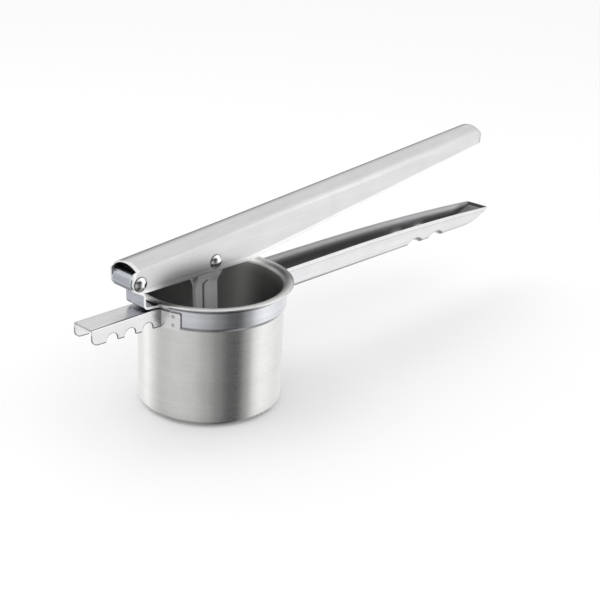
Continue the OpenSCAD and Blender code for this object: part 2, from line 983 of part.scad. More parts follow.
module press_disc() {
    color("lightslategray")
        translate([disc_shift, 0, disc_z])
            difference() {
                rotate_extrude($fn = wide_fn)
                    disc_section();
                for (side = [-1, 1], step = [-0.5, 0.5])
                    translate([step * foot_rivet_pitch - foot_back, side * foot_rivet_y, -cut])
                        cylinder(d = foot_rivet_d + 2 * weld_gap, h = disc_t + 2 * cut);
            }
}

module disc_rivets() {
    color("white")
        for (side = [-1, 1], step = [-0.5, 0.5])
            translate([foot_x + step * foot_rivet_pitch, side * foot_rivet_y, disc_z]) {
                cylinder(d = foot_rivet_d, h = disc_t + stem_t);
                translate([0, 0, disc_t + stem_t])
                    dome(foot_head_d / 2, foot_head_h);
            }
}

cup();
collar_band();
hinge_bracket();
hook_rest();
hook_weld_plugs();
fixed_handle();
handle_weld_plugs();
lever();
hinge_rivet();
hinge_sleeve();
hinge_washer_near();
hinge_washer_far();
plunger_rivet();
plunger_sleeve();
plunger_washer_near();
plunger_washer_far();
stem_plate_near();
stem_plate_far();
press_disc();
disc_rivets();
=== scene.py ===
import math

import bmesh
import bpy
import numpy as np
from mathutils import Matrix, Vector
from mathutils.geometry import delaunay_2d_cdt


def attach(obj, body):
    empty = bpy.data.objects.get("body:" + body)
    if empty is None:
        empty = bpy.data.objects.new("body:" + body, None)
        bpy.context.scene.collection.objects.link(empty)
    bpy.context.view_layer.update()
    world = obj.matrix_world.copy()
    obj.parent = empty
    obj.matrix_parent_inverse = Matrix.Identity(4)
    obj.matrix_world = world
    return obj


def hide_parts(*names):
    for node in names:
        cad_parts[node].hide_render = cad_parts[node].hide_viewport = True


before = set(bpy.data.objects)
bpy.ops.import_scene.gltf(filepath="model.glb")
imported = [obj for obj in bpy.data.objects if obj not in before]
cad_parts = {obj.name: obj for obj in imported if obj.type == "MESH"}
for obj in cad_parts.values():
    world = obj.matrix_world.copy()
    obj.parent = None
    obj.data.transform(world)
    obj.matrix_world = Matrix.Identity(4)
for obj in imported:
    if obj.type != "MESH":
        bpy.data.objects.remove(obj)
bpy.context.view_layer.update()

# Sizes are in millimetres and angles in degrees. X runs along the handle, Z up, and the cup's axis is at 0
MM = 0.001
RIGHT_ANGLE = math.pi / 2
WELD_GAP = 0.02

# Cup and collar band
CUP_R = 44.0
CUP_H = 77.0
CUP_T = 1.2
BASE_ROUND = 4.0
RIM_R = 49.4
RIM_BEND = 3.4
HOLE_R = 2.25
HOLE_PITCH = 8.5
HOLE_FIELD = 35.3
# Turn and width of a painted highlight up the inside of the cup
HIGHLIGHT_TURN = 20.0
HIGHLIGHT_WIDTH = 12.0
COLLAR_R = 45.4
COLLAR_TOP = 75.1
COLLAR_LOW = 61.5
COLLAR_BEVEL = 2.2
SEAT_R = COLLAR_R + WELD_GAP

# Lever, whose own heights are measured from the hinge's axis
HINGE_X = -62.2
HINGE_Z = 92.1
PIVOT_X = -6.1
LEVER_HALF = 10.0
LEVER_LEN = 331.0
LOBE_R = 4.8
CROWN_UP = 11.4
CROWN_RISE = math.tan(math.radians(5.6))
ARCH_ROOT = 3.2
ARCH_NOSE = 8.8
NOSE_R = 13.0
NOSE_H = 11.6
NOSE_LIFT = 0.3
CREASE_R = 1.1
LEVER_SOFT = 0.25
LOBE_X = -2.4
LOBE_END = 4.8
LEVER_T = 1.0
LEVER_DROP = 6.0
LEVER_FLAT = 86.0
NOSE_DEPTH = 13.2
NOSE_LOW = CROWN_UP + CROWN_RISE * LEVER_LEN - NOSE_DEPTH

# Rivets and hinge bracket, whose knuckle fills the lever's inside
CORE_HALF = 7.8
HEAD_R = 4.45
HEAD_H = 2.4
SHANK_R = 3.0
SLEEVE_T = 0.9
SLEEVE_GAP = 0.05
BRACKET_T = 1.4
BRACKET_BEND = 2.5
WEB_X = 4.8
ROLL_END = 240.0
STRIP_FALL = 30.0
TONGUE_SLOPE = 5.0
TONGUE_FLARE = 6.0

# Fixed handle, with a bow downwards, a lip outside and a flare inside its upper edge
HANDLE_END = 285.0
HANDLE_TOP = 73.2
HANDLE_FLOOR = 58.3
FLOOR_FALL = 1.7
HANDLE_HALF = 11.2
HANDLE_TAPER = 2.5
HANDLE_T = 1.0
HANDLE_ROUND = 3.2
BOW = 5.7
ROOT_END = 60.0
BOW_START = 110.0
NOSE_START = 257.5
NOSE_BEND = 50.0
LIP_H = 2.8
LIP_OUT = 0.7
CREST_H = 0.5
CREST_POWER = 0.6
FLARE_OUT = 1.3
FLARE_H = 3.2
GROOVES = (218.0, 192.0)
GROOVE_R = 13.0
GROOVE_DEPTH = 3.0
GROOVE_SOFT = 0.9

# Pot rest, and the wings and weld spots that the handle shares with it
HOOK_TIP = -93.8
HOOK_STRAIGHT = -52.0
HOOK_TOP = 73.2
HOOK_HALF = 8.15
HOOK_T = 1.2
HOOK_BEND = 0.75
HOOK_TIP_H = 9.3
HOOK_ROOT_H = 11.5
NOTCHES = (-80.5, -68.1, -55.7)
NOTCH_R = 4.1
NOTCH_DEPTH = 4.6
TIP_ROUND = 3.5
WING_TURN = 15.0
WING_ROUND = 1.2
PLUG_PLACE = 0.62
PLUG_PITCH = 5.3
PLUG_R = 1.0
PLUG_SINK = 0.36

# Disc and stem; the disc is FLOOR_GAP over the floor once the lever has closed
CLOSE_ANGLE = 6.2
DISC_R = 40.8
DISC_X = 0.3
FLOOR_GAP = 1.2
DISC_Z = CUP_T + FLOOR_GAP + (PIVOT_X - HINGE_X) * math.sin(math.radians(CLOSE_ANGLE))
DISC_T = 1.8
DISC_EDGE = 6.0
DISC_BEND = 3.0
STEM_T = 1.2
STEM_HALF = 8.8
FOOT_X = DISC_X - 2.8
FOOT_Z = DISC_Z + DISC_T
FOOT_L = 17.0
FOOT_BEND = 2.2
FOOT_RIVET_X = 4.8
FOOT_RIVET_Y = 9.61
FOOT_HEAD_R = 2.6
FOOT_HEAD_H = 1.2
FOOT_SHANK_R = 1.5
SPREAD_TOP = 5.4
SPREAD_H = 10.7
BEAD_W = 5.6
BEAD_H = 1.0
BEAD_DROP = 16.4


# --- Shapes as arrays ---

def arc(centre, radius, start, end, count):
    """Points of an arc: centre plus radius times cosine and sine of evenly spaced angles in degrees."""
    turn = np.radians(np.linspace(start, end, count))
    return np.stack([centre[0] + radius * np.cos(turn), centre[1] + radius * np.sin(turn)], -1)


def line(start, end, count):
    """Evenly spaced points of a straight line, without its last point."""
    share = np.linspace(0, 1, count, endpoint=False)[:, None]
    return np.array(start) * (1 - share) + np.array(end) * share


def quads_of(rows, cols, rows_meet=False, cols_meet=False, start=0):
    """Four corners of each cell of a grid of points, which may close on itself either way."""
    row, col = np.meshgrid(np.arange(rows if rows_meet else rows - 1),
                           np.arange(cols if cols_meet else cols - 1), indexing="ij")
    below, right = (row + 1) % rows, (col + 1) % cols
    cell = [row * cols + col, row * cols + right, below * cols + right, below * cols + col]
    return np.stack(cell, -1).reshape(-1, 4) + start


def lathe(profile, count, axis="z"):
    """Profile turned once round its axis: radius times cosine and sine of the turn, and height."""
    turn = np.linspace(0, 2 * math.pi, count, endpoint=False)[:, None]
    radius, height = profile[:, 0], profile[:, 1]
    across, along = radius * np.cos(turn), radius * np.sin(turn)
    rise = np.broadcast_to(height, across.shape)
    order = (across, along, rise) if axis == "z" else (across, rise, -along)
    return np.stack(order, -1).reshape(-1, 3)


def softened(value, low, high, soft):
    """Ramp from 0 to 1 between low and high, whose corners a running mean rounds over soft."""
    steps = np.linspace(-soft, soft, 9)
    shifted = np.asarray(value)[..., None] + steps
    return np.clip((shifted - low) / (high - low), 0, 1).mean(-1)


def smooth_max(first, second, soft):
    """Larger of two values, with the crossing rounded over soft."""
    return 0.5 * (first + second + np.sqrt((first - second) ** 2 + soft * soft))


class Sheet:
    """Points in millimetres, the painted shade and weld marks at each, and faces of one piece, gathered by
    patches.
    """

    def __init__(self):
        self.points, self.dull, self.faces, self.count = [], [], [], 0

    def patch(self, points, rows, cols, flip=False, dull=0.0, **closing):
        """Adds a grid of points, row by row, with the cells between them as faces."""
        cells = quads_of(rows, cols, start=self.count, **closing)
        self.faces += (cells[:, ::-1] if flip else cells).tolist()
        self.points.append(np.asarray(points, float).reshape(-1, 3))
        self.dull.append(np.broadcast_to(dull, (rows, cols)).reshape(-1))
        self.count += rows * cols

    def faces_on(self, points, faces):
        """Adds faces on points of their own, with no painted shade."""
        self.faces += [[corner + self.count for corner in face] for face in faces]
        self.points.append(np.asarray(points, float))
        self.dull.append(np.zeros(len(points)))
        self.count += len(points)


def finish_piece(name, sheet, body, material, node, sheet_t=0.0, edge=0.0, side=0.0, closed=False,
                 sharp=50.0, inner=None, rim=None):
    """Makes the object: welds doubles, thickens a sheet, rounds edges, and hides the node it stands for."""
    mesh = bpy.data.meshes.new(name)
    mesh.from_pydata((np.concatenate(sheet.points) * MM).tolist(), [], sheet.faces)
    # Point attribute of painted shade, and of the dark marks round weld spots, which the steel materials read
    dull = mesh.attributes.new("dull", "FLOAT", "POINT")
    dull.data.foreach_set("value", np.concatenate(sheet.dull).astype(np.float32))
    shape = bmesh.new()
    shape.from_mesh(mesh)
    bmesh.ops.remove_doubles(shape, verts=shape.verts, dist=2e-6)
    bmesh.ops.dissolve_degenerate(shape, edges=shape.edges, dist=1e-6)
    if closed:
        bmesh.ops.recalc_face_normals(shape, faces=shape.faces)
    shape.to_mesh(mesh)
    shape.free()
    piece = bpy.data.objects.new(name, mesh)
    bpy.context.scene.collection.objects.link(piece)
    for finish in (material, inner, rim):
        if finish:
            mesh.materials.append(finish)
    mesh.shade_smooth()
    if sheet_t:
        wall = piece.modifiers.new("sheet", "SOLIDIFY")
        wall.thickness = sheet_t * MM
        wall.offset = side
        wall.use_even_offset = False
        wall.material_offset = 1 if inner else 0
        wall.material_offset_rim = len(mesh.materials) - 1 if rim else 0
    if edge:
        rounding = piece.modifiers.new("edge", "BEVEL")
        rounding.width = edge * MM
        rounding.segments = 2
        rounding.limit_method = "ANGLE"
        rounding.angle_limit = math.radians(sharp)
        rounding.use_clamp_overlap = True
        rounding.harden_normals = True
        rounding.miter_outer = "MITER_ARC"
    else:
        mesh.set_sharp_from_angle(angle=math.radians(sharp))
    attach(piece, body)
    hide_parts(node)


# --- Shared effects of the finishes ---

def new_group(name, strengths, outputs):
    """Empty node group on a vector and named strengths, with named numbers as outputs, and its two end nodes."""
    group = bpy.data.node_groups.new(name, "ShaderNodeTree")
    group.interface.new_socket("Vector", in_out="INPUT", socket_type="NodeSocketVector")
    for labels, way in ((strengths, "INPUT"), (outputs, "OUTPUT")):
        for label in labels:
            group.interface.new_socket(label, in_out=way, socket_type="NodeSocketFloat")
    return group, group.nodes.new("NodeGroupInput"), group.nodes.new("NodeGroupOutput")


def add(tree, kind, **values):
    """New node; plain values go to its settings, and names of its inputs to those inputs."""
    node = tree.nodes.new(kind)
    for key, value in values.items():
        if key.startswith("in_"):
            place = key[3:]
            node.inputs[int(place) if place.isdigit() else place.replace("_", " ")].default_value = value
        else:
            setattr(node, key, value)
    return node


def maths(tree, operation, first, second=None):
    """Maths node on two sockets or numbers."""
    node = add(tree, "ShaderNodeMath", operation=operation)
    for place, value in enumerate((first, second)):
        if value is None:
            continue
        if isinstance(value, (int, float)):
            node.inputs[place].default_value = value
        else:
            tree.links.new(value, node.inputs[place])
    return node.outputs[0]


def times(tree, value, factor):
    """Product of two sockets or numbers."""
    return maths(tree, "MULTIPLY", value, factor)


def total(tree, first, *others):
    """Sum of sockets or numbers."""
    for other in others:
        first = maths(tree, "ADD", first, other)
    return first


def blended(tree, first, second, share):
    """Second value where share is 1, first where it is 0."""
    return total(tree, times(tree, first, maths(tree, "SUBTRACT", 1.0, share)), times(tree, second, share))


def mixed(tree, share, first, second):
    """Second colour where share is 1, first where it is 0; either may be a socket or three numbers."""
    node = add(tree, "ShaderNodeMix", data_type="RGBA")
    tree.links.new(share, node.inputs[0])
    for place, colour in ((6, first), (7, second)):
        if isinstance(colour, tuple):
            node.inputs[place].default_value = (*colour, 1)
        else:
            tree.links.new(colour, node.inputs[place])
    return node.outputs[2]


def ranged(tree, value, low, high, to_low, to_high):
    """Value carried from one range to another, kept inside the second."""
    node = add(tree, "ShaderNodeMapRange", in_1=low, in_2=high, in_3=to_low, in_4=to_high)
    tree.links.new(value, node.inputs[0])
    return node.outputs[0]


def noise(tree, vector, scale, detail, rough):
    """Noise on a vector."""
    node = add(tree, "ShaderNodeTexNoise", in_Scale=scale, in_Detail=detail, in_Roughness=rough)
    tree.links.new(vector, node.inputs["Vector"])
    return node.outputs[0]


def brushing_group():
    """Fine lines drawn out along one direction, with broader streaks among them."""
    group, begin, end = new_group("BrushedLines", ["Fine", "Broad"], ["Lines", "Streaks"])
    link = group.links.new
    fine = noise(group, begin.outputs["Vector"], 1.0, 3.0, 0.7)
    wide = add(group, "ShaderNodeVectorMath", operation="SCALE", in_Scale=0.22)
    link(begin.outputs["Vector"], wide.inputs[0])
    broad = noise(group, wide.outputs[0], 1.0, 2.0, 0.5)
    link(times(group, ranged(group, fine, 0.3, 0.7, -0.5, 0.5), begin.outputs["Fine"]), end.inputs["Lines"])
    link(times(group, ranged(group, broad, 0.35, 0.65, -0.5, 0.5), begin.outputs["Broad"]),
         end.inputs["Streaks"])
    return group


def handling_group():
    """Cloudy traces of handling and wiping, from large soft patches and small specks."""
    group, begin, end = new_group("HandlingMarks", [], ["Patches", "Specks"])
    link = group.links.new
    cloud = noise(group, begin.outputs["Vector"], 60.0, 3.0, 0.55)
    speck = noise(group, begin.outputs["Vector"], 900.0, 2.0, 0.5)
    link(ranged(group, cloud, 0.35, 0.65, 0.0, 1.0), end.inputs["Patches"])
    link(ranged(group, speck, 0.62, 0.75, 0.0, 1.0), end.inputs["Specks"])
    return group


def edge_group():
    """Mask of the outer edges, which handling keeps bright, and of the inner corners, which get painted shade.
    """
    group, begin, end = new_group("EdgeWearAndCornerShade", [], ["Shine", "CornerShade"])
    link = group.links.new
    bend = group.nodes.new("ShaderNodeNewGeometry")
    broken = noise(group, begin.outputs["Vector"], 260.0, 3.0, 0.6)
    point = total(group, bend.outputs["Pointiness"], times(group, broken, 0.02))
    link(ranged(group, point, 0.53, 0.58, 0.0, 1.0), end.inputs["Shine"])
    link(ranged(group, point, 0.49, 0.44, 0.0, 1.0), end.inputs["CornerShade"])
    return group


BRUSHING = brushing_group()
HANDLING = handling_group()
EDGES = edge_group()
# Attribute level up to which steel only gets rougher before it darkens as painted shade, the share of painted
# shade in inner corners, and the wear of outer edges
MATT_FROM = 0.3
CORNER_SHADE = 0.3
EDGE_WEAR = 0.6
WORN_TONE = (0.93, 0.93, 0.93)


def steel(name, tone, roughness, stretch, lines=0.06, streaks=0.04, bump=0.1, turned=0.0,
          dull_tone=0.7, metal=1.0, matt=0.1):
    """Stainless sheet: a tone varied by brushing lines, handling marks, edge shine and painted shade.

    Where the attribute is low the steel is only up to matt rougher; higher, its tone goes down to the given
    share of its brightness, as painted shade and, round weld spots, as their dark marks.
    """
    material = bpy.data.materials.new(name)
    material.use_nodes = True
    tree = material.node_tree
    link = tree.links.new
    surface = tree.nodes["Principled BSDF"]
    surface.inputs["Metallic"].default_value = metal
    place = tree.nodes.new("ShaderNodeTexCoord").outputs["Object"]
    drawn = add(tree, "ShaderNodeMapping", in_Scale=stretch)
    brush = add(tree, "ShaderNodeGroup", node_tree=BRUSHING, in_Fine=lines, in_Broad=streaks)
    marks = add(tree, "ShaderNodeGroup", node_tree=HANDLING)
    edges = add(tree, "ShaderNodeGroup", node_tree=EDGES)
    link(place, drawn.inputs["Vector"])
    link(drawn.outputs[0], brush.inputs["Vector"])
    link(place, marks.inputs["Vector"])
    link(place, edges.inputs["Vector"])
    shade_and_weld_level = add(tree, "ShaderNodeAttribute", attribute_name="dull").outputs["Fac"]
    dark = ranged(tree, shade_and_weld_level, MATT_FROM, 1.0, 0.0, 1.0)
    level = total(tree, brush.outputs["Lines"], brush.outputs["Streaks"],
                  times(tree, marks.outputs["Patches"], -0.03), 1.01)
    # Tone: painted shade from the attribute and in inner corners, then worn outer edges, then the lines and
    # patches
    shade_and_weld_darkening = maths(tree, "MAXIMUM", times(tree, edges.outputs["CornerShade"], CORNER_SHADE), dark)
    base = mixed(tree, shade_and_weld_darkening, tone, tuple(channel * dull_tone for channel in tone))
    worn = times(tree, edges.outputs["Shine"], maths(tree, "SUBTRACT", 1.0, dark))
    tinted = add(tree, "ShaderNodeVectorMath", operation="SCALE")
    link(mixed(tree, times(tree, worn, EDGE_WEAR), base, WORN_TONE), tinted.inputs[0])
    link(level, tinted.inputs["Scale"])
    link(tinted.outputs[0], surface.inputs["Base Color"])
    rough = total(tree, times(tree, marks.outputs["Patches"], 0.03), roughness,
                  times(tree, brush.outputs["Lines"], 0.6), times(tree, marks.outputs["Specks"], 0.04),
                  ranged(tree, shade_and_weld_level, 0.0, MATT_FROM, 0.0, matt))
    link(rough, surface.inputs["Roughness"])
    relief = add(tree, "ShaderNodeBump", in_Strength=bump, in_Distance=0.0001)
    link(brush.outputs["Lines"], relief.inputs["Height"])
    link(relief.outputs[0], surface.inputs["Normal"])
    if turned:
        surface.inputs["Anisotropic"].default_value = turned
        surface.inputs["Anisotropic Rotation"].default_value = 0.25
        around = add(tree, "ShaderNodeTangent", direction_type="RADIAL", axis="Z")
        link(around.outputs[0], surface.inputs["Tangent"])
    return material


# Scales of the brushing along X, Y and Z: fine across the lines, coarse along them
ROUND_LINES = (16.0, 16.0, 1200.0)
LONG_LINES = (8.0, 800.0, 800.0)
CROSS_LINES = (1000.0, 30.0, 1000.0)
CUP_STEEL = steel("CupSteel", (0.74, 0.74, 0.73), 0.26, ROUND_LINES, turned=0.75, dull_tone=0.42)
BAND_STEEL = steel("BandSteel", (0.68, 0.69, 0.72), 0.22, ROUND_LINES, lines=0.08, streaks=0.08, turned=0.6,
                   dull_tone=0.25)
# Darker, bluer tone than the other sheet steel: painted shade on the bracket, whose web faces away from the
# light
SHADED_BRACKET_STEEL = steel("BracketShadedSteel", (0.44, 0.46, 0.50), 0.2, CROSS_LINES, lines=0.22, streaks=0.25)
REST_STEEL = steel("PotRestSteel", (0.78, 0.78, 0.78), 0.26, LONG_LINES, dull_tone=0.05)
# Dark cut edges of the pot rest and wings: the bare edge's tone together with painted shadow along it
SHADED_CUT_STEEL = steel("CutEdgeShadedSteel", (0.30, 0.30, 0.31), 0.35, (500.0, 500.0, 500.0))
# Near-white cut edges of the bracket: painted highlight
HIGHLIT_CUT_STEEL = steel("CutEdgePaintedHighlight", (0.95, 0.95, 0.95), 0.3, (500.0, 500.0, 500.0))
SPOT_STEEL = steel("WeldSpotSteel", (0.06, 0.06, 0.06), 0.45, (400.0, 400.0, 400.0), lines=0.3, streaks=0.2)
HANDLE_STEEL = steel("HandleSteel", (0.67, 0.67, 0.68), 0.18, LONG_LINES, dull_tone=0.33, matt=0.36)
LEVER_STEEL = steel("LeverSteel", (0.62, 0.625, 0.62), 0.22, LONG_LINES, metal=0.9, dull_tone=0.15)
# Dark inside of the lever: painted shade
SHADED_INSIDE_STEEL = steel("LeverInsidePaintedShade", (0.15, 0.155, 0.17), 0.4, LONG_LINES)
RIVET_STEEL = steel("RivetSteel", (0.88, 0.88, 0.88), 0.08, (500.0, 500.0, 500.0), lines=0.04, streaks=0.02,
                    bump=0.05, dull_tone=0.15)
PLAIN_STEEL = steel("TurnedSteel", (0.60, 0.60, 0.60), 0.3, (300.0, 2400.0, 300.0), lines=0.1)
STEM_STEEL = steel("StemSteel", (0.95, 0.95, 0.96), 0.36, (60.0, 60.0, 1500.0), metal=0.5, dull_tone=0.16)
DISC_STEEL = steel("DiscSteel", (0.68, 0.68, 0.68), 0.25, (700.0, 700.0, 700.0), lines=0.08)


# --- Cup ---

def cup_profile():
    """Outer half of the wall's section, from its round base to its rolled edge, and the inner half down."""
    under = RIM_BEND - CUP_T
    bend = (CUP_R + under, CUP_H - RIM_BEND)
    edge = CUP_T / 2
    corner = (CUP_R - BASE_ROUND, BASE_ROUND)
    outside = np.concatenate([
        arc(corner, BASE_ROUND, -90, 0, 10),
        line((CUP_R, BASE_ROUND), (CUP_R, bend[1]), 14)[1:],
        arc(bend, under, 180, 90, 9),
        arc((RIM_R - edge, CUP_H - edge), edge, -90, 90, 9)])
    inside = np.concatenate([
        arc(bend, RIM_BEND, 90, 180, 12),
        line((CUP_R - CUP_T, bend[1]), (CUP_R - CUP_T, BASE_ROUND), 14)[1:],
        arc(corner, BASE_ROUND - CUP_T, 0, -90, 9)])
    return outside, inside


def floor_holes():
    """Centres of a triangular pattern, whose columns lie a third of their gap off the middle."""
    gap = HOLE_PITCH * math.sqrt(3) / 2
    reach = math.ceil(HOLE_FIELD / gap) + 1
    column, row = np.meshgrid(np.arange(-reach, reach + 1), np.arange(-reach, reach + 1), indexing="ij")
    x = (column + 1 / 3) * gap
    y = (row + np.where(column % 2 == 0, 0.5, 0.0)) * HOLE_PITCH
    inside = np.hypot(x, y) < HOLE_FIELD
    return np.stack([x[inside], y[inside]], -1)


def make_cup():
    """Turned wall and rim, and a floor of two flat faces whose holes are short tubes."""
    around, hole_points = 240, 24
    sheet = Sheet()
    outside, inside = cup_profile()
    profile = np.concatenate([outside, inside])
    turn = np.linspace(0, 2 * math.pi, around, endpoint=False)
    # Painted shade inside, from the rim inwards and more so further down, but less along one upright streak,
    # which is a painted highlight
    past_rim = softened(RIM_R - profile[:, 0], 0.7, 2.4, 0.2)
    down = softened(CUP_H - profile[:, 1], 2, 8, 1)
    within = np.arange(len(profile)) >= len(outside)
    painted_highlight = np.exp(-((np.degrees(turn) - HIGHLIGHT_TURN) / HIGHLIGHT_WIDTH) ** 2)
    sheet.patch(lathe(profile, around), around, len(profile), rows_meet=True,
                dull=(0.75 * past_rim + 0.25 * down) * within * (1 - 0.45 * painted_highlight[:, None]))
    rim = (CUP_R - BASE_ROUND) * np.stack([np.cos(turn), np.sin(turn)], -1)
    ring = np.linspace(0, 2 * math.pi, hole_points, endpoint=False)
    circle = HOLE_R * np.stack([np.cos(ring), np.sin(ring)], -1)
    centres = floor_holes()
    holes = (centres[:, None, :] + circle[None]).reshape(-1, 2)
    flat = np.concatenate([rim, holes])
    first = around + hole_points * np.arange(len(centres))
    loops = [list(range(around))] + [list(range(start, start + hole_points)) for start in first.tolist()]
    places, _, faces, _, _, _ = delaunay_2d_cdt([Vector(p) for p in flat.tolist()], [], loops, 2, 1e-6)
    places = np.array([tuple(p) for p in places])
    for height in (0.0, CUP_T):
        level = np.column_stack([places, np.full(len(places), height)])
        sheet.faces_on(level, [list(face) for face in faces])
    for ring_points in holes.reshape(-1, hole_points, 2):
        low = np.column_stack([ring_points, np.zeros(hole_points)])
        high = np.column_stack([ring_points, np.full(hole_points, CUP_T)])
        sheet.patch(np.stack([low, high], 1), hole_points, 2, rows_meet=True)
    finish_piece("cup_shell", sheet, "frame", CUP_STEEL, "cup", closed=True, sharp=35)


make_cup()


# --- Collar band ---

def make_collar():
    """Turned band with a bevel along its lower edge, which follows the rim's bend inside its upper edge."""
    around = 240
    under = RIM_BEND - CUP_T - WELD_GAP
    bend = (CUP_R + RIM_BEND - CUP_T, CUP_H - RIM_BEND)
    thin = CUP_R + (COLLAR_R - CUP_R) / 3
    lean = math.degrees(math.asin((COLLAR_TOP - bend[1]) / under))
    round_off = 0.25
    profile = np.concatenate([
        [(CUP_R + WELD_GAP, COLLAR_LOW), (thin - round_off, COLLAR_LOW), (thin, COLLAR_LOW + round_off)],
        [(COLLAR_R - 0.12, COLLAR_LOW + COLLAR_BEVEL - 0.3), (COLLAR_R - 0.02, COLLAR_LOW + COLLAR_BEVEL),
         (COLLAR_R, COLLAR_LOW + COLLAR_BEVEL + 0.35)],
        line((COLLAR_R, COLLAR_TOP - 2.8), (COLLAR_R, COLLAR_TOP - 0.4), 9),
        arc((COLLAR_R - round_off, COLLAR_TOP - round_off), round_off, 0, 90, 4),
        arc(bend, under, 180 - lean, 180, 6)])
    # Painted shade line along the top of the band, where the rim stands over it
    shadow = softened(profile[:, 1] - COLLAR_TOP, -2.5, -1.3, 0.2)
    sheet = Sheet()
    sheet.patch(lathe(profile, around), around, len(profile), rows_meet=True, cols_meet=True, dull=shadow)
    finish_piece("collar_shell", sheet, "frame", BAND_STEEL, "collar_band", closed=True,
                 sharp=34)


make_collar()


# --- Wings of the pot rest and of the fixed handle ---

def wing_patch(sheet, middle, start, low, high, thick):
    """Two strips on the band: radius times cosine and sine of the turn, with two sunk weld spots each."""
    degree = math.radians(SEAT_R)
    for side in (-1, 1):
        turn = np.linspace(start - 1.0, start + WING_TURN, 76)
        height = np.linspace(low, high, 58)
        angle, z = np.meshgrid(turn, height, indexing="ij")
        along = (angle - start - WING_TURN * PLUG_PLACE) * degree
        away = np.hypot(along, np.abs(z - (low + high) / 2) - PLUG_PITCH / 2)
        sunk = PLUG_SINK * (1 - softened(away, PLUG_R - 0.15, PLUG_R + 0.15, 0.1))
        # The free corners are rounded by drawing the strip's end in near its top and its bottom
        corner = np.clip(WING_ROUND - np.minimum(z - low, high - z), 0, None)
        drawn_in = (WING_ROUND - np.sqrt(np.clip(WING_ROUND ** 2 - corner ** 2, 0, None))) / degree
        angle = angle - drawn_in * (angle - start) / WING_TURN
        radius = SEAT_R + thick / 2 - sunk
        around = np.radians(middle + side * angle)
        points = np.stack([radius * np.cos(around), radius * np.sin(around), z], -1)
        sheet.patch(points, len(turn), len(height), flip=side < 0,
                    dull=1 - softened(away, PLUG_R - 0.3, PLUG_R + 0.25, 0.1))


# --- Pot rest ---

def flange_edge(x):
    """Lower edge of the flanges without notches: a straight line that falls from the tip to the root."""
    slope = (HOOK_ROOT_H - HOOK_TIP_H) / (-COLLAR_R - HOOK_TIP)
    return HOOK_TOP - HOOK_TIP_H - slope * (x - HOOK_TIP)


def notch_line(x):
    """Lower edge of the flanges, raised to a half circle in each notch and to a quarter circle at the tip."""
    low = flange_edge(x)
    for middle in NOTCHES:
        away = np.abs(x - middle)
        circle = np.sqrt(np.clip(NOTCH_R ** 2 - away ** 2, 0, None))
        top = flange_edge(middle) + NOTCH_DEPTH - NOTCH_R + circle
        low = np.where(away <= NOTCH_R + 1e-6, top, low)
    left = np.clip(HOOK_TIP + TIP_ROUND - x, 0, TIP_ROUND)
    return low + TIP_ROUND - np.sqrt(TIP_ROUND ** 2 - left ** 2)


def hook_stations():
    """Places along the flange, packed round each notch's ends and round the tip."""
    runs = [HOOK_TIP + TIP_ROUND - TIP_ROUND * np.cos(np.linspace(0, RIGHT_ANGLE, 9))]
    start = runs[0][-1]
    beside = NOTCH_R + 0.03
    for middle in NOTCHES:
        runs += [np.linspace(start, middle - beside, 6)[1:],
                 middle - NOTCH_R * np.cos(np.linspace(0, math.pi, 25)),
                 [middle + beside]]
        start = middle + beside
    runs.append(np.linspace(start, -COLLAR_R, 8)[1:])
    return np.concatenate(runs)


def make_pot_rest():
    """Channel along the stations: flange from its lower edge up, a round bend and the flat top, mirrored."""
    x = hook_stations()
    low = notch_line(x)
    mid_half = HOOK_HALF - HOOK_T / 2
    mid_top = HOOK_TOP - HOOK_T / 2
    # Rows up the flange, packed near its lower edge for the painted shade line there
    share = np.array([0, 0.04, 0.075, 0.11, 0.2, 0.35, 0.5, 0.65, 0.8, 1.0])[:, None]
    flange_z = low * (1 - share) + (mid_top - HOOK_BEND) * share
    flange_y = np.full_like(flange_z, -mid_half)
    corner = arc((-mid_half + HOOK_BEND, mid_top - HOOK_BEND), HOOK_BEND, 180, 90, 6)[1:]
    across = np.linspace(-mid_half + HOOK_BEND, 0, 8)[1:]
    top_y = np.concatenate([corner[:, 0], across])[:, None] + 0 * x
    top_z = np.concatenate([corner[:, 1], np.full(len(across), mid_top)])[:, None] + 0 * x
    y = np.concatenate([flange_y, top_y])
    z = np.concatenate([flange_z, top_z])
    y = np.concatenate([y, -y[-2::-1]])
    z = np.concatenate([z, z[-2::-1]])
    # The last stations follow the band's round face
    reach = np.clip((x - HOOK_STRAIGHT) / (-COLLAR_R - HOOK_STRAIGHT), 0, 1)
    place = x + reach * (COLLAR_R - np.sqrt(SEAT_R ** 2 - y ** 2))
    sheet = Sheet()
    # Dark painted shade line along the lower edge, and a thinner one along the bend to the top
    shade_rows = np.zeros(len(y))
    shade_rows[:3] = (1.0, 0.9, 0.3)
    shade_rows[len(share) + 2:len(share) + 4] = 0.8
    shade_rows = np.maximum(shade_rows, shade_rows[::-1])
    sheet.patch(np.stack([place, y, z], -1), len(y), len(x), dull=shade_rows[:, None])
    start = math.degrees(math.asin(HOOK_HALF / COLLAR_R))
    wing_patch(sheet, 180.0, start, HOOK_TOP - HOOK_ROOT_H, HOOK_TOP - HOOK_T - 0.1, HOOK_T)
    finish_piece("pot_rest_shell", sheet, "frame", REST_STEEL, "hook_rest",
                 sheet_t=HOOK_T, edge=0.14, rim=SHADED_CUT_STEEL)


make_pot_rest()


# --- Hinge bracket ---

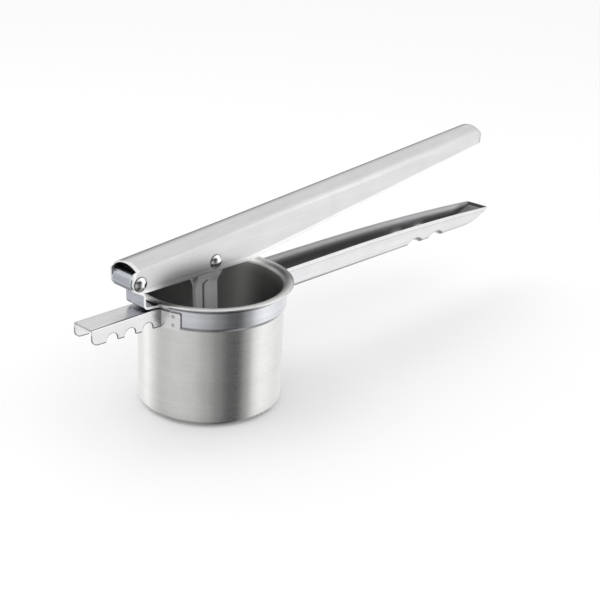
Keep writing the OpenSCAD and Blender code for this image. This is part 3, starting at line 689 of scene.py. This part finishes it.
def bracket_line():
    """Middle line from the side: rolled knuckle, strip, knee, web, heel and sloping tongue; and its end."""
    fall, slope, leave = (math.radians(turn) for turn in (STRIP_FALL, TONGUE_SLOPE, ROLL_END))
    roll = SHANK_R + SLEEVE_GAP + SLEEVE_T + SLEEVE_GAP + BRACKET_T / 2
    start = roll * np.array([math.cos(leave), math.sin(leave)])
    way = np.array([math.cos(fall), -math.sin(fall)])
    run = (WEB_X - start[0] - BRACKET_BEND * (1 - math.sin(fall))) / way[0]
    knee = start + run * way
    knee_centre = knee - BRACKET_BEND * np.array([math.sin(fall), math.cos(fall)])
    tongue_end = np.array([-COLLAR_R - HINGE_X, COLLAR_TOP - HINGE_Z - BRACKET_T / 2])
    heel_x = WEB_X + BRACKET_BEND * (1 - math.sin(slope))
    heel_z = tongue_end[1] + (tongue_end[0] - heel_x) * math.tan(slope)
    heel_centre = (WEB_X + BRACKET_BEND, heel_z + BRACKET_BEND * math.cos(slope))
    flare_x = -math.sqrt((COLLAR_R + TONGUE_FLARE) ** 2 - (CORE_HALF + TONGUE_FLARE) ** 2) - HINGE_X
    flare_z = tongue_end[1] + (tongue_end[0] - flare_x) * math.tan(slope)
    heel = arc(heel_centre, BRACKET_BEND, 180, 270 - TONGUE_SLOPE, 9)
    return np.concatenate([
        arc((0, 0), roll, -20, ROLL_END, 56),
        line(start, knee, 4)[1:],
        arc(knee_centre, BRACKET_BEND, 90 - STRIP_FALL, 0, 8),
        line((WEB_X, knee_centre[1]), (WEB_X, heel_centre[1]), 5)[1:],
        heel,
        line(heel[-1], (flare_x, flare_z), 3)[1:]]), (flare_x, flare_z)


def make_bracket():
    """Strip across the middle line, whose tongue flares by a round on each side into the band."""
    middle, flare = bracket_line()
    width = np.linspace(-1, 1, 17)
    strip = np.stack(np.broadcast_arrays(
        middle[:, :1] + HINGE_X, CORE_HALF * width, middle[:, 1:] + HINGE_Z), -1)
    # The flare's edge is an arc round a centre beside the tongue, down to the band
    centre = (flare[0] + HINGE_X, CORE_HALF + TONGUE_FLARE)
    last = math.degrees(math.atan2(-centre[1], -centre[0])) % 360
    edge = arc(centre, TONGUE_FLARE, 270, last, 12)
    share = np.linspace(0, 1, len(edge))[:, None]
    y = edge[:, 1:] * width
    curve = np.sqrt(SEAT_R ** 2 - edge[:, 1:] ** 2) - np.sqrt(SEAT_R ** 2 - y ** 2)
    x = edge[:, :1] + share * curve
    z = COLLAR_TOP - BRACKET_T / 2 - (x + COLLAR_R) * math.tan(math.radians(TONGUE_SLOPE))
    sheet = Sheet()
    points = np.concatenate([strip, np.stack([x, y, z], -1)])
    sheet.patch(points, len(points), len(width), flip=True)
    finish_piece("bracket_shell", sheet, "frame", SHADED_BRACKET_STEEL, "hinge_bracket",
                 sheet_t=BRACKET_T, edge=0.16, rim=HIGHLIT_CUT_STEEL)


make_bracket()


# --- Fixed handle ---

def handle_lines(x):
    """Half width, top edge and outer floor at x: tapered, bowed, with two finger waves and a rising end."""
    share = (x - COLLAR_R) / (HANDLE_END - COLLAR_R)
    half = HANDLE_HALF - HANDLE_TAPER * share
    bowed = np.clip((x - BOW_START) / (HANDLE_END - BOW_START), 0, None)
    top = HANDLE_TOP - BOW * bowed * bowed
    floor = HANDLE_FLOOR - FLOOR_FALL * share
    for middle in GROOVES:
        away = np.abs(x - middle)
        wave = GROOVE_DEPTH - GROOVE_R + np.sqrt(np.clip(GROOVE_R ** 2 - away ** 2, 0, None))
        wave = np.where(away < GROOVE_R, wave, -GROOVE_R)
        # The smoothed crossing without the lift that it gives far from the wave
        lift = 0.5 * GROOVE_SOFT ** 2 / (np.abs(wave) + GROOVE_SOFT)
        floor = floor + smooth_max(wave, 0, GROOVE_SOFT) - lift
    rising = np.clip(x - NOSE_START, 0, None)
    floor = floor + NOSE_BEND - np.sqrt(NOSE_BEND ** 2 - rising ** 2)
    return half, top, floor


def handle_section(x):
    """Right half of the closed section, from outer floor round to inner floor; and its crest's middle row."""
    half, top, floor = handle_lines(x)
    lip = np.minimum(LIP_H, 0.55 * (top - floor))
    soft = 0.3
    bend = np.clip((top - lip - soft - floor) * 0.95, 0.3, HANDLE_ROUND)
    inner = np.clip(bend - HANDLE_T, 0.2, None)
    turn = np.radians(np.linspace(-90, 0, 9))[:, None]
    out_y = half - bend + bend * np.cos(turn)
    out_z = floor + bend + bend * np.sin(turn)
    in_y = half - HANDLE_T - inner + inner * np.cos(turn[::-1])
    in_z = floor + HANDLE_T + inner + inner * np.sin(turn[::-1])
    # Inner wall, which leans out under the crest
    wall_top = top - CREST_H
    wall_share = np.linspace(0, 1, 9)[1:-1, None]
    wall_z = wall_top * (1 - wall_share) + in_z[0] * wall_share
    flare = np.clip(1 - (wall_top - wall_z) / np.minimum(FLARE_H, wall_top - in_z[0]), 0, 1)
    # Lip, which steps out smoothly, and the crest, a rounded rectangle over it
    step = np.linspace(0, 1, 5)[:, None]
    lip_y = half + LIP_OUT * step * step * (3 - 2 * step)
    lip_z = top - lip - soft + 2 * soft * step
    crest = np.radians(np.linspace(0, 180, 9))[:, None]
    thick = (HANDLE_T + LIP_OUT - FLARE_OUT) / 2
    crest_y = half + LIP_OUT - thick + thick * np.sign(np.cos(crest)) * np.abs(np.cos(crest)) ** CREST_POWER
    crest_z = wall_top + CREST_H * np.sin(crest) ** CREST_POWER
    flat_y = np.array([0, 0.5])[:, None] * (half - bend)
    in_flat = np.array([0.5, 0])[:, None] * (half - HANDLE_T - inner)
    wall_y = half - HANDLE_T + FLARE_OUT * flare
    y = np.concatenate([flat_y, out_y, lip_y, crest_y, wall_y, in_y, in_flat])
    z = np.concatenate([floor + 0 * flat_y, out_z, lip_z, crest_z, wall_z, in_z,
                        floor + HANDLE_T + 0 * in_flat])
    return y, z, len(flat_y) + len(out_y) + len(lip_y) + len(crest) // 2


def make_handle():
    """Closed section carried along X, a capped end, an end wall, and the wings on the band."""
    x = np.concatenate([
        np.linspace(COLLAR_R, 176, 40), np.linspace(176.8, 234, 96), np.linspace(236, NOSE_START, 14)[:-1],
        np.linspace(NOSE_START, HANDLE_END, 28)])
    y, z, crest_row = handle_section(x)
    y = np.concatenate([y, -y[::-1]])
    z = np.concatenate([z, z[::-1]])
    # The first stations follow the band's round face
    near = np.clip((ROOT_END - x) / (ROOT_END - COLLAR_R), 0, 1)
    place = x + near * (np.sqrt(SEAT_R ** 2 - y ** 2) - COLLAR_R)
    rows = len(y)
    # Painted shade inside the trough from each crest's middle on, most so deep down, and less on the finger
    # bumps
    _, top, floor = handle_lines(x)
    bump = np.clip((floor - HANDLE_FLOOR + FLOOR_FALL) / GROOVE_DEPTH, 0, 1) * (x < NOSE_START)
    near_floor = np.clip(1 - (z - floor - HANDLE_T) / 6, 0, 1)
    light_h = 3.4 * (1 - softened(x, 262, 274, 2))
    inner_row = np.arange(rows // 2) >= crest_row
    inside = np.concatenate([inner_row, inner_row[::-1]])[:, None]
    depth = 0.7 * softened(top - z - light_h, 0, 3.5, 0.8) * (1 - 0.85 * bump * near_floor)
    sheet = Sheet()
    sheet.patch(np.stack([place, y, z], -1), rows, len(x), rows_meet=True, dull=(0.3 + depth) * inside)
    # Caps between the outer and the inner line of the section at both ends
    for end in (0, -1):
        ring = np.stack([place[:, end], y[:, end], z[:, end]], -1)
        for part in np.split(ring, 2):
            count = len(part) // 2
            sheet.patch(np.stack([part[:count], part[::-1][:count]], 1), count, 2)
    # End wall: a plate between the walls with a rounded upper edge, with painted shade on its inner side
    half, top, floor = (value[0] for value in handle_lines(np.array([HANDLE_END])))
    profile = np.array([(0, floor + 0.3), (0, top - 0.25), (-0.12, top - 0.07), (-0.3, top), (-0.8, top),
                        (-1.0, top - 0.15), (-1.1, floor + 0.3)])
    across = np.linspace(0.4 - half, half - 0.4, 12)
    wall = np.stack(np.broadcast_arrays(HANDLE_END - 0.02 + profile[:, :1], across, profile[:, 1:]), -1)
    sheet.patch(wall, len(profile), len(across), rows_meet=True, dull=(profile[:, :1] < -0.75) * 1.0)
    finish_piece("handle_shell", sheet, "frame", HANDLE_STEEL, "fixed_handle",
                 closed=True, sharp=32)
    wings = Sheet()
    start = math.degrees(math.asin(HANDLE_HALF / COLLAR_R))
    wing_patch(wings, 0.0, start, COLLAR_LOW + COLLAR_BEVEL, HANDLE_TOP - HANDLE_T, HANDLE_T)
    finish_piece("handle_wings", wings, "frame", HANDLE_STEEL, "fixed_handle",
                 sheet_t=HANDLE_T, edge=0.12, rim=SHADED_CUT_STEEL)


make_handle()


# --- Lever ---

def crown_height(x, y):
    """Top of the crown: a rising line less a round arch, or the nose's ellipsoid where that is lower."""
    rise = ARCH_ROOT + (ARCH_NOSE - ARCH_ROOT) * np.clip(x, 0, LEVER_LEN) / LEVER_LEN
    radius = (LEVER_HALF ** 2 + rise ** 2) / (2 * rise)
    arch = radius - np.sqrt(np.clip(radius ** 2 - y ** 2, 0, None))
    top = CROWN_UP + CROWN_RISE * x - arch
    ball_x = LEVER_LEN - NOSE_R
    ball_z = CROWN_UP + CROWN_RISE * ball_x - NOSE_H + NOSE_LIFT
    along = np.clip(x - ball_x, 0, None) / NOSE_R
    ball = ball_z + NOSE_H * np.sqrt(np.clip(1 - along ** 2 - (y / NOSE_R) ** 2, 0, None))
    return np.where(x > ball_x, -smooth_max(-top, -ball, LEVER_SOFT), top)


def lever_low(x):
    """Lower edge of the walls: level to the cup, then straight up to the nose, with the bend softened."""
    slope = (NOSE_LOW + LEVER_DROP) / (LEVER_LEN - LEVER_FLAT)
    return -LEVER_DROP + smooth_max(slope * (x - LEVER_FLAT), 0, LEVER_SOFT)


def lobe_grid(near, share, round_z):
    """Wall's points at the hinge, from its lobe's circle to its straight edge, drawn to its round outline."""
    outline = np.concatenate([
        arc((0, 0), LOBE_R, 215, 180, 6),
        [(-LOBE_R, 2.0), (-LOBE_R, 4.2), (-LOBE_R, 5.6), (-4.3, 6.5), (-3.4, 6.95), (LOBE_X, round_z[0])]])
    turn = np.radians(np.interp(near, [LOBE_X, LOBE_END], [215, 250]))
    level = np.where(near < LOBE_END, np.clip((near - LOBE_X) / (LOBE_END - LOBE_X), 0, 1) ** 2, 1.0)
    low_x = LOBE_R * np.cos(turn) * (1 - level) + near * level
    low_z = LOBE_R * np.sin(turn) * (1 - level) - LEVER_DROP * level
    x = low_x * (1 - share) + near * share
    z = low_z * (1 - share) + round_z * share
    fade = (1 - np.arange(len(near)) / (len(near) - 1)) ** 2
    return x + (outline[:, :1] - x[:, :1]) * fade, z + (outline[:, 1:] - z[:, :1]) * fade


def make_lever():
    """Walls and crown from stations round the plan: up the wall, round a crease, in to the ridge."""
    arc_start = LEVER_LEN - LEVER_HALF
    near = np.linspace(LOBE_X, 12, 14)
    straight = np.concatenate([near, np.linspace(16, arc_start - 16, 52),
                               np.linspace(arc_start - 15, arc_start, 16)])
    turn = np.radians(np.linspace(-90, 90, 49))[1:-1]
    base_x = np.concatenate([straight, arc_start + LEVER_HALF * np.cos(turn), straight[::-1]])
    base_y = np.concatenate([0 * straight - LEVER_HALF, LEVER_HALF * np.sin(turn), 0 * straight + LEVER_HALF])
    in_x = np.concatenate([0 * straight, -np.cos(turn), 0 * straight])
    in_y = np.concatenate([0 * straight + 1, -np.sin(turn), 0 * straight - 1])
    top = crown_height(base_x, base_y)
    probe = 0.02
    steep = (crown_height(base_x + probe * in_x, base_y + probe * in_y) - top) / probe
    lean = np.arctan(steep)
    round_z = top + CREASE_R * steep - CREASE_R * np.sqrt(1 + steep * steep)
    # Wall, with a round end at the hinge on both sides
    share = np.linspace(0, 1, 12)[:, None]
    wall_x = base_x + 0 * share
    wall_z = lever_low(base_x) * (1 - share) + round_z * share
    first = len(near)
    end_x, end_z = lobe_grid(near, share, round_z[:first])
    wall_x[:, :first], wall_x[:, -first:] = end_x, end_x[:, ::-1]
    wall_z[:, :first], wall_z[:, -first:] = end_z, end_z[:, ::-1]
    wall = np.stack(np.broadcast_arrays(wall_x, base_y, wall_z), -1)
    # Crease
    swing = np.linspace(0, 1, 6)[1:, None] * (RIGHT_ANGLE - lean)
    inward = CREASE_R * (1 - np.cos(swing))
    fold = np.stack([base_x + inward * in_x, base_y + inward * in_y, round_z + CREASE_R * np.sin(swing)], -1)
    # Crown, packed near the crease
    begin = CREASE_R * (1 - np.sin(lean))
    pack = 1 - np.cos(np.linspace(0, RIGHT_ANGLE, 16))[1:, None]
    reach = begin + (LEVER_HALF - begin) * pack
    crown_x, crown_y = base_x + reach * in_x, base_y + reach * in_y
    crown = np.stack([crown_x, crown_y, crown_height(crown_x, crown_y)], -1)
    points = np.concatenate([wall, fold, crown]) + np.array([HINGE_X, 0, HINGE_Z])
    # The two corners of the nose, where the edge rolls over, get the most painted shade
    corner = np.degrees(np.arctan2(np.abs(base_y), np.clip(base_x - arc_start, 1e-6, None)))
    tip = 0.8 * softened(corner, 36, 50, 3) * (1 - softened(corner, 68, 80, 3))
    past_crease = np.concatenate([np.zeros(len(wall) + len(fold)), pack[:, 0] * LEVER_HALF])[:, None]
    sheet = Sheet()
    sheet.patch(points, len(points), len(base_x), dull=tip * (1 - softened(past_crease, 0.3, 2.2, 0.3)))
    finish_piece("lever_shell", sheet, "lever", LEVER_STEEL, "lever", sheet_t=LEVER_T,
                 edge=0.12, side=-1.0, inner=SHADED_INSIDE_STEEL)


make_lever()


# --- Rivets ---

def cap_line(radius, height, base, count=12):
    """Arc of a domed head from its middle to its edge, over a short straight side with a bevel under it."""
    dome_h = height - 0.25
    ball = (radius ** 2 + dome_h ** 2) / (2 * dome_h)
    tilt = math.degrees(math.asin(radius / ball))
    dome = arc((0, base + height - ball), ball, 90, 90 - tilt, count)
    return np.concatenate([dome, [(radius, base + 0.12), (radius - 0.12, base)]])


def rim_shade_line(profile, radius):
    """Painted shade that puts a dark line round a head's edge."""
    return softened(profile[:, 0] / radius, 0.84, 0.96, 0.03)


def make_lever_rivet(name, x, node):
    """Shank through both walls with a domed head on each side, turned round an axis along Y."""
    half = np.concatenate([cap_line(HEAD_R, HEAD_H, LEVER_HALF), [(SHANK_R, LEVER_HALF), (SHANK_R, 0)]])
    profile = np.concatenate([half, (half * [1, -1])[-2::-1]])
    sheet = Sheet()
    around = 64
    points = lathe(profile, around, axis="y") + np.array([x, 0, HINGE_Z])
    sheet.patch(points, around, len(profile), rows_meet=True, dull=rim_shade_line(profile, HEAD_R))
    finish_piece(name, sheet, "lever", RIVET_STEEL, node, closed=True, sharp=35)


make_lever_rivet("hinge_rivet_heads", HINGE_X, "hinge_rivet")
make_lever_rivet("plunger_rivet_heads", PIVOT_X, "plunger_rivet")


def make_foot_rivets():
    """Four small domed heads on the stem's feet."""
    sheet = Sheet()
    around = 40
    profile = np.concatenate([cap_line(FOOT_HEAD_R, FOOT_HEAD_H, STEM_T, 8),
                              [(FOOT_SHANK_R, STEM_T), (FOOT_SHANK_R, -DISC_T), (0, -DISC_T)]])
    for side in (-1, 1):
        for step in (-FOOT_RIVET_X, FOOT_RIVET_X):
            place = np.array([FOOT_X + step, side * FOOT_RIVET_Y, FOOT_Z])
            sheet.patch(lathe(profile, around) + place, around, len(profile), rows_meet=True,
                        dull=rim_shade_line(profile, FOOT_HEAD_R))
    finish_piece("foot_rivet_heads", sheet, "plunger", RIVET_STEEL, "disc_rivets",
                 closed=True, sharp=35)


make_foot_rivets()


# --- Stem and disc ---

def make_stem_plate(name, side, node):
    """Strip along foot, upright, spread and half-round ear, pushed out by a long bead."""
    middle = WELD_GAP + STEM_T / 2
    ear_y = CORE_HALF - STEM_T / 2
    stem_h = HINGE_Z - FOOT_Z
    spread_top = stem_h - SPREAD_TOP
    foot = line((FOOT_L, STEM_T / 2), (middle + FOOT_BEND, STEM_T / 2), 10)
    heel = arc((middle + FOOT_BEND, STEM_T / 2 + FOOT_BEND), FOOT_BEND, 270, 180, 8)
    rise = np.linspace(STEM_T / 2 + FOOT_BEND, stem_h, 110)[1:]
    ear = stem_h + STEM_HALF * np.sin(np.linspace(0, RIGHT_ANGLE, 16))[1:]
    low = np.concatenate([foot, heel])
    z = np.concatenate([low[:, 1], rise, ear])
    y = middle + (ear_y - middle) * softened(z, spread_top - SPREAD_H, spread_top, 1.6)
    y[:len(low)] = low[:, 0]
    half = np.sqrt(np.clip(STEM_HALF ** 2 - np.clip(z - stem_h, 0, None) ** 2, 0, None))
    across = half[:, None] * np.linspace(-1, 1, 61)
    x = FOOT_X + (PIVOT_X - FOOT_X) / stem_h * z[:, None] + across
    # Bead, by the distance from its axis, which has round ends
    over = np.clip(z - stem_h + BEAD_DROP, 0, None) + np.clip(STEM_T + BEAD_W - z, 0, None)
    away = np.hypot(across, over[:, None])
    push = BEAD_H * (1 - softened(away, 1.5, 3.0, 0.5))
    push[:len(low)] = 0
    points = np.stack(np.broadcast_arrays(x, side * (y[:, None] + push), z[:, None] + FOOT_Z), -1)
    # Painted shade line along the bead's foot, stronger on its left
    bead_shade_line = softened(away, 1.7, 2.3, 0.15) * (1 - softened(away, 3.0, 3.7, 0.15))
    sheet = Sheet()
    sheet.patch(points, *x.shape, flip=side > 0, dull=bead_shade_line * np.where(across < 0, 1.0, 0.45))
    finish_piece(name, sheet, "plunger", STEM_STEEL, node, sheet_t=STEM_T, edge=0.25)


make_stem_plate("stem_near", -1, "stem_plate_near")
make_stem_plate("stem_far", 1, "stem_plate_far")


def make_disc():
    """Turned pressing disc: flat face, round corner, upright edge with a rounded top, and back inside."""
    corner = (DISC_R - DISC_BEND, DISC_BEND)
    lip = DISC_T / 2
    profile = np.concatenate([
        line((0, 0), (corner[0], 0), 8),
        arc(corner, DISC_BEND, -90, 0, 10),
        arc((DISC_R - lip, DISC_EDGE - lip), lip, 0, 180, 9),
        arc(corner, DISC_BEND - DISC_T, 0, -90, 8),
        line((corner[0], DISC_T), (0, DISC_T), 8)[1:], [(0, DISC_T)]])
    sheet = Sheet()
    around = 200
    sheet.patch(lathe(profile, around) + np.array([DISC_X, 0, DISC_Z]), around, len(profile), rows_meet=True)
    finish_piece("disc_shell", sheet, "plunger", DISC_STEEL, "press_disc", closed=True,
                 sharp=35)


make_disc()


# --- Nodes that stay as they are ---

KEPT = {"hook_weld_plugs": SPOT_STEEL, "handle_weld_plugs": SPOT_STEEL, "hinge_sleeve": PLAIN_STEEL,
        "plunger_sleeve": PLAIN_STEEL, "hinge_washer_near": PLAIN_STEEL, "hinge_washer_far": PLAIN_STEEL,
        "plunger_washer_near": PLAIN_STEEL, "plunger_washer_far": PLAIN_STEEL}
for node_name, finish in KEPT.items():
    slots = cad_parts[node_name].material_slots
    for slot in slots:
        slot.material = finish


# --- Floor, light and camera ---

def make_floor():
    """Wide plain floor just under the base."""
    reach, level = 6.0, -0.0002
    mesh = bpy.data.meshes.new("floor")
    corners = [(x * reach, y * reach, level) for x, y in ((-1, -1), (1, -1), (1, 1), (-1, 1))]
    mesh.from_pydata(corners, [], [(0, 1, 2, 3)])
    floor = bpy.data.objects.new("floor", mesh)
    bpy.context.scene.collection.objects.link(floor)
    material = bpy.data.materials.new("PaleFloor")
    material.use_nodes = True
    tree = material.node_tree
    surface = tree.nodes["Principled BSDF"]
    # The camera sees it white, and it throws back a little less on the object
    camera = tree.nodes.new("ShaderNodeLightPath").outputs["Is Camera Ray"]
    tree.links.new(mixed(tree, camera, (0.95, 0.95, 0.95), (1.0, 1.0, 1.0)), surface.inputs["Base Color"])
    surface.inputs["Roughness"].default_value = 0.9
    surface.inputs["Specular IOR Level"].default_value = 0.1
    mesh.materials.append(material)
    floor.visible_glossy = False


make_floor()


def ramp(tree, value, stops):
    """Colour ramp of grey levels at places from 0 to 1."""
    node = tree.nodes.new("ShaderNodeValToRGB")
    tree.links.new(value, node.inputs[0])
    band = node.color_ramp
    band.interpolation = "EASE"
    while len(band.elements) < len(stops):
        band.elements.new(0.5)
    for element, (place, level) in zip(band.elements, stops):
        element.position = place
        element.color = (level, level, level, 1)
    return node.outputs[0]


# Studio round the object, as levels of grey by compass direction in degrees from +X
STUDIO = ((0, 1.0), (12, 1.0), (40, 0.98), (90, 1.0), (110, 1.3), (126, 0.98), (140, 0.72), (172, 0.84),
          (200, 0.8), (221, 0.58), (240, 0.33), (256, 0.15), (270, 0.12), (288, 0.5), (301, 1.1),
          (314, 1.3), (330, 1.2), (347, 1.05), (360, 1.0))
# Level of the world for light that no mirror or lens passes on
SOFT_LEVEL = 0.95


def make_world():
    """White for the camera, an even level for soft light, and the studio's tones for the steel to mirror."""
    world = bpy.data.worlds.new("Studio")
    bpy.context.scene.world = world
    world.use_nodes = True
    world.cycles.sampling_method = "NONE"
    tree = world.node_tree
    link = tree.links.new
    back = tree.nodes["Background"]
    place = tree.nodes.new("ShaderNodeTexCoord")
    parts = tree.nodes.new("ShaderNodeSeparateXYZ")
    link(place.outputs["Generated"], parts.inputs[0])
    compass = maths(tree, "ARCTAN2", parts.outputs[1], parts.outputs[0])
    compass = maths(tree, "FRACT", total(tree, maths(tree, "DIVIDE", compass, 2 * math.pi), 1.0))
    around = ramp(tree, compass, [(degrees / 360, level) for degrees, level in STUDIO])
    # Behind the object the studio darkens towards the horizon, and a dark card stands high in front of it
    height = total(tree, times(tree, parts.outputs[2], 0.5), 0.5)
    strip = ramp(tree, height, [(0.0, 0.0), (0.38, 0.0), (0.46, 1.0), (0.8, 0.0), (1.0, 0.0)])
    behind = ramp(tree, compass, [(0.0, 0.7), (0.03, 1.0), (0.22, 1.0), (0.3, 0.0), (0.93, 0.0), (1.0, 0.7)])
    tones = blended(tree, around, times(tree, around, 0.14), times(tree, strip, behind))
    card = ramp(tree, height, [(0.0, 0.0), (0.5, 0.0), (0.6, 1.0), (0.75, 1.0), (0.83, 0.0), (1.0, 0.0)])
    front = ramp(tree, compass, [(0.0, 0.0), (0.5, 0.0), (0.56, 1.0), (0.8, 1.0), (0.86, 0.0), (1.0, 0.0)])
    tones = blended(tree, tones, times(tree, tones, 0.35), times(tree, card, front))
    # Straight below it is darker, and overhead it is one even white
    below = ramp(tree, height, [(0.0, 0.35), (0.14, 0.35), (0.26, 1.0), (1.0, 1.0)])
    overhead = ramp(tree, height, [(0.0, 0.0), (0.72, 0.0), (0.87, 1.0), (1.0, 1.0)])
    mirrored = blended(tree, times(tree, tones, below), 1.0, overhead)
    rays = tree.nodes.new("ShaderNodeLightPath")
    glossy = maths(tree, "MAXIMUM", rays.outputs["Is Glossy Ray"], rays.outputs["Is Transmission Ray"])
    level = blended(tree, SOFT_LEVEL, mirrored, glossy)
    link(blended(tree, level, 1.0, rays.outputs["Is Camera Ray"]), back.inputs["Strength"])
    back.inputs["Color"].default_value = (1, 1, 1, 1)


make_world()


def make_lamp(name, place, target, size, power):
    """Soft square lamp aimed at a point."""
    data = bpy.data.lights.new(name, "AREA")
    data.size = size
    data.energy = power
    lamp = bpy.data.objects.new(name, data)
    bpy.context.scene.collection.objects.link(lamp)
    lamp.location = place
    lamp.rotation_euler = (Vector(target) - Vector(place)).to_track_quat("-Z", "Y").to_euler()


make_lamp("KeyLamp", (-0.5, 0.5, 1.1), (0.05, 0, 0.05), 0.7, 1.6)
make_lamp("FillLamp", (0.7, -0.9, 0.9), (0.08, 0, 0.05), 0.9, 0.8)


def make_camera():
    """Camera solved from the photograph: its three axes as columns, and its place."""
    data = bpy.data.cameras.new("Camera")
    data.lens = 62.946809
    data.sensor_width = 36
    data.sensor_fit = "HORIZONTAL"
    camera = bpy.data.objects.new("Camera", data)
    bpy.context.scene.collection.objects.link(camera)
    camera.matrix_world = Matrix((
        (0.678171, 0.251544, -0.690515, -0.399916),
        (-0.733213, 0.295311, -0.612528, -0.426094),
        (0.049839, 0.921693, 0.384706, 0.308544),
        (0, 0, 0, 1)))
    bpy.context.scene.camera = camera


make_camera()
bpy.context.scene.view_settings.view_transform = "Standard"
